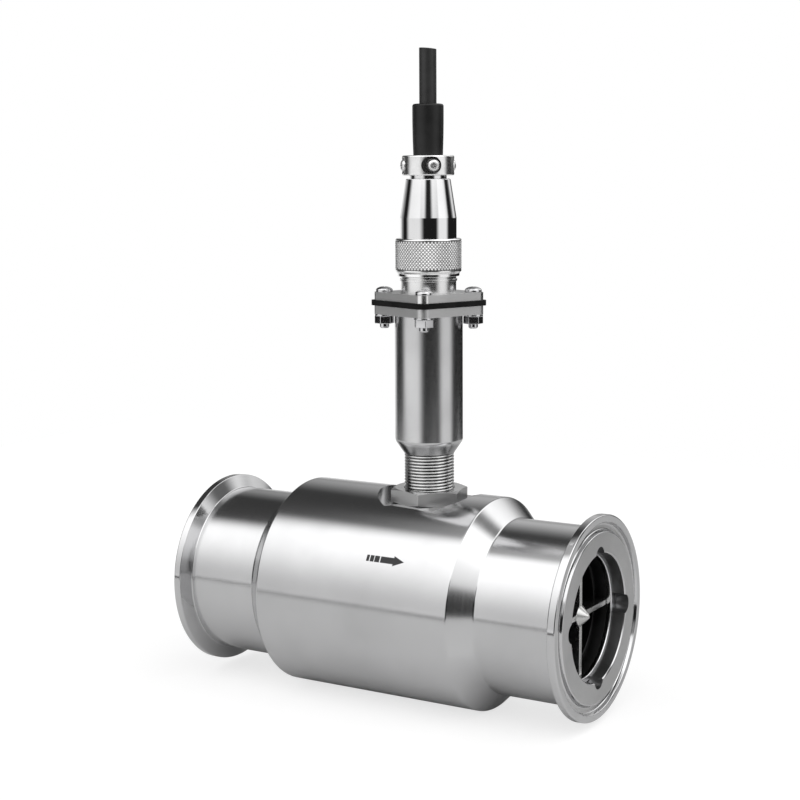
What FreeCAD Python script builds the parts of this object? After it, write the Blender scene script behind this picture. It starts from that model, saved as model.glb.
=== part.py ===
import FreeCAD, Part
import math
import os
import Sketcher

from FreeCAD import Placement, Rotation, Vector

# A DN40 turbine flow meter with sanitary clamp ends.
# The frame: X runs with the flow from the centre of the inlet face, Z runs up the pickup stem, Y to the back.

doc = FreeCAD.newDocument("turbine_flow_meter")
sheet = doc.addObject("Spreadsheet::Sheet", "Sizes")

SIZES = {
    # flow body and its clamp ends
    "FlowLength": 140,
    "FerruleRadius": 32,
    "RimWidth": 2.5,
    "RimTaper": 1.9,
    "RimEdge": 0.3,
    "RimProud": 4.2,
    "NeckFillet": 1.2,
    "BarrelRadius": 34,
    "BarrelLength": 69.6,
    "ShoulderLength": 6.2,
    "StemPlace": 80,
    # bore and mouths
    "BoreRadius": 19,
    "MouthWiden": 1,
    "MouthDepth": 10.5,
    "MouthEdge": 0.35,
    "NotchWidth": 6.2,
    "NotchRise": 2.4,
    "SealGrooveInset": 3.8,
    "SealGrooveWidth": 3.0,
    "SealGrooveDepth": 1.6,
    "SealGrooveChamfer": 0.5,
    # snap rings that hold the straighteners
    "RingPlace": 4.5,
    "RingThickness": 1.75,
    "RingSlack": 0.1,
    "RingGrooveDepth": 1.3,
    "RingPlay": 0.12,
    "RingShow": 0.8,
    "RingGap": 6,
    # seat of the pickup on the barrel
    "SeatDepth": 3.2,
    "SeatMargin": 3.8,
    "SensorWall": 3,
    "StemRadius": 8,
    "StemFit": 0.06,
    "StemTipGap": 0.3,
    "StemWall": 1.8,
    "StemFloor": 1.2,
    "StemEdge": 1.0,
    # flow straighteners
    "HubRadius": 3.3,
    "NoseLength": 2.8,
    "NoseTip": 0.5,
    "VaneThickness": 1.7,
    "VaneRoot": 0.8,
    "VaneFit": 0.05,
    "VaneSetback": 3,
    "BossRadius": 6,
    "BossLength": 12,
    "BossTaper": 9,
    # rotor, shaft and bearings
    "RotorLength": 14,
    "RotorEdge": 0.8,
    "RotorGap": 0.8,
    "BladeTipGap": 0.6,
    "BladeRoot": 5,
    "BladeThickness": 1.2,
    "BladeSetback": 1,
    "BladeLead": 138,
    "ShaftRadius": 1.5,
    "ShaftFit": 0.03,
    "ShaftEndPlay": 0.15,
    "BearingRadius": 3.5,
    "BearingLength": 7,
    "ThrustThickness": 1.6,
    # lock nut
    "LockNutAcross": 22,
    "LockNutHeight": 4.6,
    "LockNutEdge": 1.0,
    # amplifier housing
    "ThreadShown": 11.7,
    "ConeRise": 3.7,
    "TubeRadius": 10.8,
    "TubeWall": 1.5,
    "TubeLength": 40.3,
    # flange stack
    "FlangeAngle": 21,
    "FlangeMargin": 3,
    "FlangeCorner": 2.6,
    "FlangeThickness": 2.8,
    "GasketLip": 0.6,
    "GasketCorner": 2.4,
    "GasketThickness": 1.7,
    "GasketHole": 8.2,
    "PlateThickness": 2.5,
    "ScrewRadius": 1.5,
    "ScrewFit": 0.1,
    "ScrewTail": 1.5,
    "ScrewHeadRadius": 2.7,
    "ScrewHeadHeight": 1.8,
    "ScrewHeadDome": 1.0,
    "WasherLip": 0.35,
    "WasherClearance": 0.24,
    "WasherThickness": 0.6,
    "FlangeNutAcross": 5.5,
    "FlangeNutHeight": 2.4,
    # pickup coil and amplifier board
    "PoleRadius": 1.5,
    "PoleFit": 0.03,
    "BobbinFit": 0.3,
    "BobbinWall": 0.67,
    "BobbinEnd": 1.2,
    "BobbinLength": 17,
    "WindingDrop": 0.7,
    "MagnetRadius": 4.5,
    "MagnetLength": 6,
    "MagnetGap": 0.8,
    "BoardFit": 0.2,
    "BoardHeadroom": 3.1,
    "BoardThickness": 1.6,
    "BoardRise": 0.2,
    "ChipWidth": 6,
    "ChipLength": 8,
    "ChipThickness": 1.8,
    "TrimmerRadius": 2.2,
    "TrimmerHeight": 2.6,
    # receptacle
    "SocketRadius": 8.75,
    "SocketHeight": 10,
    "SocketWall": 1.1,
    "SocketLedge": 1.4,
    "BeadHeight": 3.6,
    "BeadProud": 0.3,
    "BeadWidth": 0.7,
    "LedgeWidth": 1.15,
    "InsertRise": 0.5,
    "PinRadius": 0.75,
    "PinCircle": 3.4,
    "PinRise": 4.5,
    "PinTail": 4,
    # plug and coupling nut
    "TurnFit": 0.08,
    "FaceGap": 0.1,
    "NutWall": 1.75,
    "NutGap": 0.8,
    "NutTail": 4,
    "NutLipInset": 0.7,
    "NutLipHeight": 1.0,
    "NutEdge": 0.3,
    "NutWeb": 1.4,
    "SleeveFit": 0.05,
    "SleeveWall": 1.1,
    "SleeveGap": 1.0,
    "SleeveFlangeInset": 0.15,
    "SleeveFlangeHeight": 1.3,
    "SleeveNeckProud": 0.3,
    "SleeveTail": 8,
    "PlugFaceGap": 0.3,
    "PlugInsertLength": 11,
    "ContactWall": 0.33,
    "ContactFit": 0.07,
    # backshell, clamp ring and cable
    "ShellStraight": 10.3,
    "ShellCone": 12.2,
    "ShellTaper": 1.9,
    "ShellWall": 1.0,
    "ShellNeckWall": 1.15,
    "ShellNeckHeight": 2.8,
    "ClampGap": 1.0,
    "ClampWall": 2.4,
    "ClampHeight": 6.2,
    "ClampEdge": 0.45,
    "ClampAngle": 47,
    "ClampPocket": 2.6,
    "ClampPocketDepth": 1.7,
    "ClampScrewRadius": 1.25,
    "ClampHeadRadius": 1.95,
    "ClampHeadProud": 0.55,
    "BootWall": 1.95,
    "BootSwell": 0.25,
    "BootLength": 15.9,
    "BootEdge": 0.6,
    "CableStub": 16.7,
    "JacketWall": 0.58,
    "JacketReach": 7.6,
    "CoreRadius": 0.95,
    "CoreGap": 0.023,
    "CoreFit": 0.05,
}

for row, (alias, millimetres) in enumerate(SIZES.items(), start=1):
    sheet.set(f"A{row}", alias)
    sheet.set(f"B{row}", str(millimetres))
    sheet.setAlias(f"B{row}", alias)
doc.recompute()


class Size:
    """One length of the part: its number, and the formula that ties it to the sheet."""

    def __init__(self, number, formula):
        self.number = number
        self.formula = formula

    def joined(self, other, sign, number):
        return Size(number, f"({self.formula} {sign} {size(other).formula})")

    def __add__(self, other):
        return self.joined(other, "+", self.number + size(other).number)

    def __sub__(self, other):
        return self.joined(other, "-", self.number - size(other).number)

    def __mul__(self, other):
        return self.joined(other, "*", self.number * size(other).number)

    def __truediv__(self, other):
        return self.joined(other, "/", self.number / size(other).number)

    def __neg__(self):
        return Size(-self.number, f"(0 - {self.formula})")


def size(value):
    """The named size of the sheet, or a plain number, as a Size."""
    if isinstance(value, Size):
        return value
    if isinstance(value, str):
        return Size(float(getattr(sheet, value)), "Sizes." + value)
    return Size(float(value), repr(float(value)))


def bind(thing, path, value):
    """Tie one property of an object to the sheet."""
    thing.setExpression(path, size(value).formula)


# Heights, places and radii that several pieces share, all in the row's frame

FULL_TURN = 360
QUARTERS = 4
HEX_CORNER = 1 / math.sqrt(3)
DIAGONAL = math.sqrt(2)
BLADES = 6
PINS = 3
SUBPARTS = []

bore_radius = size("BoreRadius")
mouth_radius = bore_radius + "MouthWiden"
neck_radius = size("FerruleRadius") - "RimProud"
flow_length = size("FlowLength")
stem_place = size("StemPlace")
rotor_half = size("RotorLength") / 2
straightener_place = size("RingPlace") + "RingThickness"
hole_floor = bore_radius + "SensorWall"
stem_base = hole_floor + "StemTipGap"
seat_height = size("BarrelRadius") - "SeatDepth"
cone_base = seat_height + "LockNutHeight" + "ThreadShown"
tube_base = cone_base + "ConeRise"
tube_floor = tube_base + "TubeWall"
tube_bore = size("TubeRadius") - "TubeWall"
flange_base = tube_base + "TubeLength"
flange_top = flange_base + "FlangeThickness"
gasket_top = flange_top + "GasketThickness"
plate_top = gasket_top + "PlateThickness"
washer_radius = size("FlangeNutAcross") / 2 + "WasherLip"
screw_reach = (size("TubeRadius") + washer_radius + "WasherClearance") / DIAGONAL
flange_width = (screw_reach + "FlangeMargin") * 2
socket_top = plate_top + "SocketHeight"
bead_top = plate_top + "BeadHeight" + "BeadWidth"
socket_bore = size("SocketRadius") - "SocketWall"
insert_radius = socket_bore - "LedgeWidth"
sleeve_radius = socket_bore - "SleeveFit"
sleeve_neck = sleeve_radius + "SleeveNeckProud"
sleeve_flange_base = socket_top + "FaceGap"
web_base = sleeve_flange_base + "SleeveFlangeHeight" + "FaceGap"
web_top = web_base + "NutWeb"
nut_base = bead_top + "NutGap"
nut_top = web_top + "NutTail"
ledge_top = plate_top + "SocketLedge"
insert_top = ledge_top + "InsertRise"
plug_face = insert_top + "PlugFaceGap"
contact_bore = size("PinRadius") + "ContactFit"
contact_radius = contact_bore + "ContactWall"
core_circle = size("CoreRadius") * (HEX_CORNER * 2) + "CoreGap"
jacket_bore = core_circle + "CoreRadius" + "CoreFit"
cable_radius = jacket_bore + "JacketWall"
boot_radius = cable_radius + "BootWall"
shell_radius = sleeve_neck + "ShellWall"
shell_neck = boot_radius + "ShellNeckWall"
shell_base = web_top + "FaceGap"
shell_cone = shell_base + "ShellStraight"
shell_top = shell_cone + "ShellCone"
neck_top = shell_top + "ShellNeckHeight"
clamp_radius = shell_neck + "ClampWall"
clamp_base = shell_top + "ClampGap"
clamp_middle = clamp_base + size("ClampHeight") / 2
clamp_top = clamp_base + "ClampHeight"
clamp_floor = clamp_radius - "ClampPocketDepth"
boot_top = clamp_top + "BootLength"
cable_top = boot_top + "CableStub"


# The ways that the pieces are made: bodies, sketches and features

def start_body(label):
    """A body of its own for one piece."""
    body = doc.addObject("PartDesign::Body", label)
    body.Label = label
    SUBPARTS.append(body)
    return body


def plane_of(body, role):
    return next(item for item in body.Origin.OriginFeatures if item.Role == role)


def start_sketch(body, role, rise=None):
    """A sketch on one of the body's own planes, lifted along its normal where a rise is given."""
    sketch = body.newObject("Sketcher::SketchObject", body.Label + "_sketch")
    sketch.AttachmentSupport = [(plane_of(body, role), "")]
    sketch.MapMode = "FlatFace"
    if rise is not None:
        bind(sketch, "AttachmentOffset.Base.z", rise)
    return sketch


def fix(sketch, kind, corner, point, value):
    """Hold one point of a sketch at a distance from the origin, tied to the sheet."""
    number = size(value)
    index = sketch.addConstraint(Sketcher.Constraint(kind, -1, 1, corner, point, number.number))
    bind(sketch, f"Constraints[{index}]", number)


def draw_outline(sketch, corners):
    """A closed outline of straight edges, with each corner held at its sizes."""
    spots = [Vector(size(x).number, size(y).number, 0) for x, y in corners]
    first = sketch.GeometryCount
    for index, spot in enumerate(spots):
        sketch.addGeometry(Part.LineSegment(spot, spots[(index + 1) % len(spots)]), False)
    for index, (x, y) in enumerate(corners):
        follower = first + (index + 1) % len(corners)
        sketch.addConstraint(Sketcher.Constraint("Coincident", first + index, 2, follower, 1))
        fix(sketch, "DistanceX", first + index, 1, x)
        fix(sketch, "DistanceY", first + index, 1, y)
    return sketch


def draw_circle(sketch, x, y, radius):
    """A circle held at its centre and its radius."""
    centre = Vector(size(x).number, size(y).number, 0)
    circle = sketch.addGeometry(Part.Circle(centre, Vector(0, 0, 1), size(radius).number), False)
    fix(sketch, "DistanceX", circle, 3, x)
    fix(sketch, "DistanceY", circle, 3, y)
    index = sketch.addConstraint(Sketcher.Constraint("Radius", circle, size(radius).number))
    bind(sketch, f"Constraints[{index}]", radius)
    return sketch


def turned(body, axis, corners, kind="Revolution"):
    """A turned form about the flow axis (H_Axis) or the stem axis (V_Axis), from its half section."""
    sketch = draw_outline(start_sketch(body, "XZ_Plane"), corners)
    feature = body.newObject("PartDesign::" + kind, body.Label + "_turned")
    feature.Profile = sketch
    feature.ReferenceAxis = (sketch, [axis])
    feature.Angle = FULL_TURN
    body.Tip = feature
    return feature


def pushed(body, sketch, kind, length, back=False, both=False):
    """A Pad or a Pocket of a sketch: along its normal, back against it, or half each way."""
    feature = body.newObject("PartDesign::" + kind, body.Label + "_" + kind.lower())
    feature.Profile = sketch
    bind(feature, "Length", length)
    feature.Reversed = back
    if both:
        feature.SideType = "Symmetric"
    body.Tip = feature
    return feature


def repeated(body, feature, axis, copies):
    """A feature repeated round one of the body's own axes."""
    pattern = body.newObject("PartDesign::PolarPattern", body.Label + "_pattern")
    pattern.Originals = [feature]
    pattern.Axis = (plane_of(body, axis), [""])
    pattern.Angle = FULL_TURN
    pattern.Occurrences = copies
    body.Tip = pattern
    return pattern


def eased(body, kind, value, wanted):
    """A Fillet or a Chamfer on the edges that the test picks."""
    doc.recompute()
    base = body.Tip
    edges = [f"Edge{n}" for n, edge in enumerate(base.Shape.Edges, start=1) if wanted(edge)]
    feature = body.newObject("PartDesign::" + kind, body.Label + "_" + kind.lower())
    feature.Base = (base, edges)
    bind(feature, "Radius" if kind == "Fillet" else "Size", value)
    body.Tip = feature
    return feature


def ring_edge(edge, x, radius):
    """True for a circle round the flow axis at this place and radius."""
    curve = edge.Curve
    if not isinstance(curve, Part.Circle):
        return False
    return abs(curve.Radius - radius.number) < 0.01 and abs(curve.Center.x - x.number) < 0.01


def upright_edge(edge):
    """True for a straight edge that stands along Z."""
    if not isinstance(edge.Curve, Part.Line):
        return False
    return abs(edge.tangentAt(edge.FirstParameter).z) > 0.99


def on_stem(body, height=0):
    """Stand a piece on the stem axis."""
    bind(body, "Placement.Base.x", stem_place)
    bind(body, "Placement.Base.z", height)
    return body


def turned_with_flange(body, height):
    """Stand a piece on the stem axis, turned with the square flange."""
    body.Placement = Placement(Vector(0, 0, 0), Rotation(Vector(0, 0, 1), -1))
    bind(body, "Placement.Rotation.Angle", -size("FlangeAngle"))
    return on_stem(body, height)


def square(body, width, thickness, corner, hole):
    """A square plate with round corners, a centre hole and four screw holes."""
    half = size(width) / 2
    sketch = start_sketch(body, "XY_Plane")
    draw_outline(sketch, [(-half, -half), (half, -half), (half, half), (-half, half)])
    pushed(body, sketch, "Pad", thickness)
    eased(body, "Fillet", corner, upright_edge)
    pushed(body, draw_circle(start_sketch(body, "XY_Plane"), 0, 0, hole), "Pocket", thickness, back=True)
    return flange_holes(body, thickness)


def flange_holes(body, thickness):
    """The four screw holes through a plate of the flange stack."""
    hole_radius = size("ScrewRadius") + "ScrewFit"
    sketch = draw_circle(start_sketch(body, "XY_Plane"), screw_reach, screw_reach, hole_radius)
    hole = pushed(body, sketch, "Pocket", thickness, back=True)
    return repeated(body, hole, "Z_Axis", QUARTERS)


def hexagon(sketch, across, x=0, y=0):
    """A hexagon with two flats square to the sketch's X, about a centre."""
    flat = size(across) / 2
    point = flat * HEX_CORNER
    tip = point * 2
    corners = [(flat, point), (0, tip), (-flat, point), (-flat, -point), (0, -tip), (flat, -point)]
    return draw_outline(sketch, [(size(x) + dx, size(y) + dy) for dx, dy in corners])


# The flow body: one turned bar of stainless steel, with a clamp ferrule at each end

def ferrule_end(x):
    """Half section of one end, from the bore to the foot of its neck."""
    groove = size("FerruleRadius") - "SealGrooveInset"
    half = size("SealGrooveWidth") / 2
    chamfer = size("SealGrooveChamfer")
    rim_back = size("RimWidth")
    ring_back = straightener_place + "RingSlack"
    ring_bottom = mouth_radius + "RingGrooveDepth"
    return [
        (x("MouthDepth"), bore_radius),
        (x("MouthDepth"), mouth_radius),
        (x(ring_back), mouth_radius),
        (x(ring_back), ring_bottom),
        (x("RingPlace"), ring_bottom),
        (x("RingPlace"), mouth_radius),
        (x("MouthEdge"), mouth_radius),
        (x(0), mouth_radius + "MouthEdge"),
        (x(0), groove - half),
        (x("SealGrooveDepth"), groove - half + chamfer),
        (x("SealGrooveDepth"), groove + half - chamfer),
        (x(0), groove + half),
        (x(0), size("FerruleRadius") - "RimEdge"),
        (x("RimEdge"), size("FerruleRadius")),
        (x(rim_back), size("FerruleRadius")),
        (x(rim_back + "RimTaper"), neck_radius),
    ]


def from_inlet(depth):
    return size(depth)


def from_outlet(depth):
    return flow_length - depth


meter_body = start_body("meter_body")
barrel_near = (flow_length - "BarrelLength") / 2
barrel_far = (flow_length + "BarrelLength") / 2
barrel_outline = [
    (barrel_near - "ShoulderLength", neck_radius),
    (barrel_near, size("BarrelRadius")),
    (barrel_far, size("BarrelRadius")),
    (barrel_far + "ShoulderLength", neck_radius),
]
turned(meter_body, "H_Axis", ferrule_end(from_inlet) + barrel_outline + ferrule_end(from_outlet)[::-1])

neck_feet = [size("RimWidth") + "RimTaper", flow_length - "RimWidth" - "RimTaper"]
eased(meter_body, "Fillet", "NeckFillet",
      lambda edge: any(ring_edge(edge, foot, neck_radius) for foot in neck_feet))

seat_radius = size("LockNutAcross") * HEX_CORNER + "SeatMargin"
seat_sketch = draw_circle(start_sketch(meter_body, "XY_Plane", seat_height), stem_place, 0, seat_radius)
pushed(meter_body, seat_sketch, "Pocket", "BarrelRadius", back=True)
stem_hole = start_sketch(meter_body, "XY_Plane", seat_height)
draw_circle(stem_hole, stem_place, 0, size("StemRadius") + "StemFit")
pushed(meter_body, stem_hole, "Pocket", seat_height - hole_floor)

for mouth, outwards in ((size(0), True), (flow_length, False)):
    notch_sketch = start_sketch(meter_body, "YZ_Plane", mouth)
    notch_half = size("NotchWidth") / 2
    draw_circle(notch_sketch, 0, mouth_radius + "NotchRise" - notch_half, notch_half)
    notch = pushed(meter_body, notch_sketch, "Pocket", "RingPlace", back=outwards)
    repeated(meter_body, notch, "X_Axis", QUARTERS)


# Snap rings: a split steel ring in the groove of each mouth

def snap_ring(label, place):
    ring = start_body(label)
    sketch = start_sketch(ring, "YZ_Plane")
    draw_circle(sketch, 0, 0, mouth_radius + "RingGrooveDepth" - "RingPlay")
    draw_circle(sketch, 0, 0, mouth_radius - "RingShow")
    pushed(ring, sketch, "Pad", "RingThickness")
    half = size("RingGap") / 2
    gap = start_sketch(ring, "YZ_Plane")
    draw_outline(gap, [(-half, 0), (half, 0), (half, "BarrelRadius"), (-half, "BarrelRadius")])
    pushed(ring, gap, "Pocket", "RingThickness", back=True)
    ring.Placement = Placement(Vector(0, 0, 0), Rotation(Vector(1, 0, 0), 135))
    bind(ring, "Placement.Base.x", place)
    return ring


snap_ring("inlet_snap_ring", size("RingPlace"))
snap_ring("outlet_snap_ring", flow_length - "RingPlace" - "RingThickness")


# Straighteners: a slim hub on four vanes, with a bearing boss at the rotor's end

def straightener(label, length):
    """Made with its nose towards -X and the front of its vanes at X = 0."""
    piece = start_body(label)
    hub = size("HubRadius")
    boss_start = length - "BossLength"
    turned(piece, "H_Axis", [
        (-size("NoseLength"), 0),
        (-size("NoseLength"), size("NoseTip")),
        (0, hub),
        (boss_start - "BossTaper", hub),
        (boss_start, size("BossRadius")),
        (length, size("BossRadius")),
        (length, 0),
    ])
    vane_end = length - "VaneSetback"
    step = size("MouthDepth") - straightener_place
    vane = start_sketch(piece, "XZ_Plane")
    draw_outline(vane, [
        (0, "VaneRoot"),
        (0, mouth_radius - "VaneFit"),
        (step, mouth_radius - "VaneFit"),
        (step, bore_radius - "VaneFit"),
        (vane_end, bore_radius - "VaneFit"),
        (vane_end, "VaneRoot"),
    ])
    vane_pad = pushed(piece, vane, "Pad", "VaneThickness", both=True)
    repeated(piece, vane_pad, "X_Axis", QUARTERS)
    seat = draw_circle(start_sketch(piece, "YZ_Plane", length), 0, 0, "BearingRadius")
    pushed(piece, seat, "Pocket", size("BearingLength") + "ThrustThickness")
    return piece


inlet_run = stem_place - rotor_half - "RotorGap" - straightener_place
outlet_run = flow_length - stem_place - rotor_half - "RotorGap" - straightener_place
bind(straightener("inlet_straightener", inlet_run), "Placement.Base.x", straightener_place)
outlet_straightener = straightener("outlet_straightener", outlet_run)
outlet_straightener.Placement = Placement(Vector(0, 0, 0), Rotation(Vector(0, 0, 1), 180))
bind(outlet_straightener, "Placement.Base.x", flow_length - straightener_place)


# Bearings: a hard bush and a thrust disc in each boss

def bush_and_disc(side, face, outwards):
    """The face is the boss's end, and outwards is the sign from the rotor to the boss."""
    bush_far = face + size("BearingLength") * outwards
    disc_far = bush_far + size("ThrustThickness") * outwards
    radius = size("BearingRadius")
    inner = size("ShaftRadius") + "ShaftFit"
    bush = start_body(side + "_bearing")
    turned(bush, "H_Axis", [(face, inner), (face, radius), (bush_far, radius), (bush_far, inner)])
    disc = start_body(side + "_thrust_disc")
    turned(disc, "H_Axis", [(bush_far, 0), (bush_far, radius), (disc_far, radius), (disc_far, 0)])


inlet_face = stem_place - rotor_half - "RotorGap"
outlet_face = stem_place + rotor_half + "RotorGap"
bush_and_disc("inlet", inlet_face, -1)
bush_and_disc("outlet", outlet_face, 1)


# The rotor: a hub with helical blades, drawn through sections that turn with the lead of the helix

rotor = start_body("rotor")
hub_edge = size("RotorEdge")
rotor_hub = size("BossRadius")
turned(rotor, "H_Axis", [
    (-rotor_half, size("ShaftRadius")),
    (-rotor_half, rotor_hub - hub_edge),
    (-rotor_half + hub_edge, rotor_hub),
    (rotor_half - hub_edge, rotor_hub),
    (rotor_half, rotor_hub - hub_edge),
    (rotor_half, size("ShaftRadius")),
])
blade_length = (rotor_half - "BladeSetback") * 2


def blade_section(share):
    """One section of a blade, at a share of its length, turned as the helix turns there."""
    sketch = start_sketch(rotor, "YZ_Plane")
    place = blade_length * share
    sketch.AttachmentOffset = Placement(Vector(0, 0, place.number), Rotation(Vector(0, 0, 1), 1))
    bind(sketch, "AttachmentOffset.Base.z", place)
    bind(sketch, "AttachmentOffset.Rotation.Angle", place / "BladeLead" * FULL_TURN)
    half = size("BladeThickness") / 2
    root = size("BladeRoot")
    tip = bore_radius - "BladeTipGap"
    lean = math.asin(half.number / tip.number)
    shoulder = math.sqrt(tip.number ** 2 - half.number ** 2)
    left_root = Vector(-half.number, root.number, 0)
    right_root = Vector(half.number, root.number, 0)
    left_tip = Vector(-half.number, shoulder, 0)
    right_tip = Vector(half.number, shoulder, 0)
    circle = Part.Circle(Vector(0, 0, 0), Vector(0, 0, 1), tip.number)
    base = sketch.addGeometry(Part.LineSegment(left_root, right_root), False)
    right = sketch.addGeometry(Part.LineSegment(right_root, right_tip), False)
    top = sketch.addGeometry(Part.ArcOfCircle(circle, math.pi / 2 - lean, math.pi / 2 + lean), False)
    left = sketch.addGeometry(Part.LineSegment(left_tip, left_root), False)
    meetings = ((base, 2, right, 1), (right, 2, top, 1), (top, 2, left, 1), (left, 2, base, 1), (top, 3, -1, 1))
    for ends in meetings:
        sketch.addConstraint(Sketcher.Constraint("Coincident", *ends))
    for edge in (right, left):
        sketch.addConstraint(Sketcher.Constraint("Vertical", edge))
    fix(sketch, "DistanceX", base, 1, -half)
    fix(sketch, "DistanceX", base, 2, half)
    fix(sketch, "DistanceY", base, 1, root)
    fix(sketch, "DistanceY", base, 2, root)
    index = sketch.addConstraint(Sketcher.Constraint("Radius", top, tip.number))
    bind(sketch, f"Constraints[{index}]", tip)
    return sketch


BLADE_SHARES = (-0.5, -0.25, 0, 0.25, 0.5)
blade_sections = [blade_section(share) for share in BLADE_SHARES]
blade = rotor.newObject("PartDesign::AdditiveLoft", "rotor_blade")
blade.Profile = blade_sections[0]
blade.Sections = blade_sections[1:]
rotor.Tip = blade
repeated(rotor, blade, "X_Axis", BLADES)
bind(rotor, "Placement.Base.x", stem_place)

shaft_reach = rotor_half + "RotorGap" + "BearingLength" - "ShaftEndPlay"
rotor_shaft = start_body("rotor_shaft")
turned(rotor_shaft, "H_Axis", [
    (-shaft_reach, 0),
    (-shaft_reach, size("ShaftRadius")),
    (shaft_reach, size("ShaftRadius")),
    (shaft_reach, 0),
])
bind(rotor_shaft, "Placement.Base.x", stem_place)


# Lock nut: a thin hexagon nut with both faces chamfered, hard down on the seat

def hexagon_nut(label, across, height, bore, edge, turn):
    nut = start_body(label)
    pushed(nut, hexagon(start_sketch(nut, "XY_Plane"), across), "Pad", height)
    pushed(nut, draw_circle(start_sketch(nut, "XY_Plane"), 0, 0, bore), "Pocket", height, back=True)
    flat = size(across) / 2
    reach = flat * (HEX_CORNER * 2) + edge
    rise = size(height)
    turned(nut, "V_Axis", [(flat, rise), (reach, rise), (reach, rise - edge)], "Groove")
    turned(nut, "V_Axis", [(flat, 0), (reach, 0), (reach, edge)], "Groove")
    nut.Placement = Placement(Vector(0, 0, 0), Rotation(Vector(0, 0, 1), turn))
    return nut


LOCK_NUT_TURN = 13.1
lock_nut_bore = size("StemRadius") + "StemFit"
on_stem(hexagon_nut("lock_nut", "LockNutAcross", "LockNutHeight", lock_nut_bore, size("LockNutEdge"),
                    LOCK_NUT_TURN), seat_height)


# The pickup housing: a threaded stem with a closed tip, opening through a cone into the amplifier tube

pickup_housing = on_stem(start_body("pickup_housing"))
stem_bore = size("StemRadius") - "StemWall"
turned(pickup_housing, "V_Axis", [
    (0, stem_base),
    (size("StemRadius") - "StemEdge", stem_base),
    (size("StemRadius"), stem_base + "StemEdge"),
    (size("StemRadius"), cone_base),
    (size("TubeRadius"), tube_base),
    (size("TubeRadius"), flange_top),
    (tube_bore, flange_top),
    (tube_bore, tube_floor),
    (stem_bore, cone_base + "TubeWall"),
    (stem_bore, stem_base + "StemFloor"),
    (0, stem_base + "StemFloor"),
])


# The pickup: a magnet on a pole pin, in a wound bobbin that stands in the tip of the stem

coil_base = stem_base + "StemFloor"
bobbin_top = coil_base + "BobbinLength"
magnet_top = tube_floor - "MagnetGap"
pole_top = magnet_top - "MagnetLength"
pole_pin = on_stem(start_body("pole_pin"))
pole_radius = size("PoleRadius")
turned(pole_pin, "V_Axis", [(0, coil_base), (pole_radius, coil_base), (pole_radius, pole_top), (0, pole_top)])

coil_bobbin = on_stem(start_body("coil_bobbin"))
bobbin_bore = pole_radius + "PoleFit"
bobbin_core = bobbin_bore + "BobbinWall"
bobbin_cheek = stem_bore - "BobbinFit"
lower_cheek = coil_base + "BobbinEnd"
upper_cheek = bobbin_top - "BobbinEnd"
turned(coil_bobbin, "V_Axis", [
    (bobbin_bore, coil_base),
    (bobbin_cheek, coil_base),
    (bobbin_cheek, lower_cheek),
    (bobbin_core, lower_cheek),
    (bobbin_core, upper_cheek),
    (bobbin_cheek, upper_cheek),
    (bobbin_cheek, bobbin_top),
    (bobbin_bore, bobbin_top),
])

coil_winding = on_stem(start_body("coil_winding"))
turned(coil_winding, "V_Axis", [
    (bobbin_core, lower_cheek),
    (bobbin_cheek - "WindingDrop", lower_cheek),
    (bobbin_cheek - "WindingDrop", upper_cheek),
    (bobbin_core, upper_cheek),
])

pickup_magnet = on_stem(start_body("pickup_magnet"))
turned(pickup_magnet, "V_Axis", [
    (0, pole_top),
    (size("MagnetRadius"), pole_top),
    (size("MagnetRadius"), magnet_top),
    (0, magnet_top),
])


# The amplifier board and its components, standing in the tube

board_base = tube_floor + "BoardRise"
pin_base = gasket_top - "PinTail"
board_length = pin_base - "BoardHeadroom" - board_base
amplifier_board = on_stem(start_body("amplifier_board"), board_base)
half_board = tube_bore - "BoardFit"
board_sketch = start_sketch(amplifier_board, "XZ_Plane")
draw_outline(board_sketch, [
    (-half_board, 0),
    (half_board, 0),
    (half_board, board_length),
    (-half_board, board_length),
])
pushed(amplifier_board, board_sketch, "Pad", "BoardThickness", both=True)

board_components = on_stem(start_body("board_components"), board_base)
board_face = size("BoardThickness") / 2
half_chip = size("ChipWidth") / 2
CHIP_RISES = (0.15, 0.6)
TRIMMER_RISE = 0.5
for share in CHIP_RISES:
    chip_base = board_length * share
    chip_sketch = start_sketch(board_components, "XZ_Plane", board_face)
    draw_outline(chip_sketch, [
        (-half_chip, chip_base),
        (half_chip, chip_base),
        (half_chip, chip_base + "ChipLength"),
        (-half_chip, chip_base + "ChipLength"),
    ])
    pushed(board_components, chip_sketch, "Pad", "ChipThickness")
trimmer_sketch = start_sketch(board_components, "XZ_Plane", -board_face)
draw_circle(trimmer_sketch, 0, board_length * TRIMMER_RISE, "TrimmerRadius")
pushed(board_components, trimmer_sketch, "Pad", "TrimmerHeight", back=True)


# The flange stack: the housing's flange, a black gasket and the receptacle's own square flange

housing_flange = turned_with_flange(start_body("housing_flange"), flange_base)
square(housing_flange, flange_width, "FlangeThickness", "FlangeCorner", "TubeRadius")

flange_gasket = turned_with_flange(start_body("flange_gasket"), flange_top)
gasket_width = flange_width + size("GasketLip") * 2
square(flange_gasket, gasket_width, "GasketThickness", "GasketCorner", "GasketHole")

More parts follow.
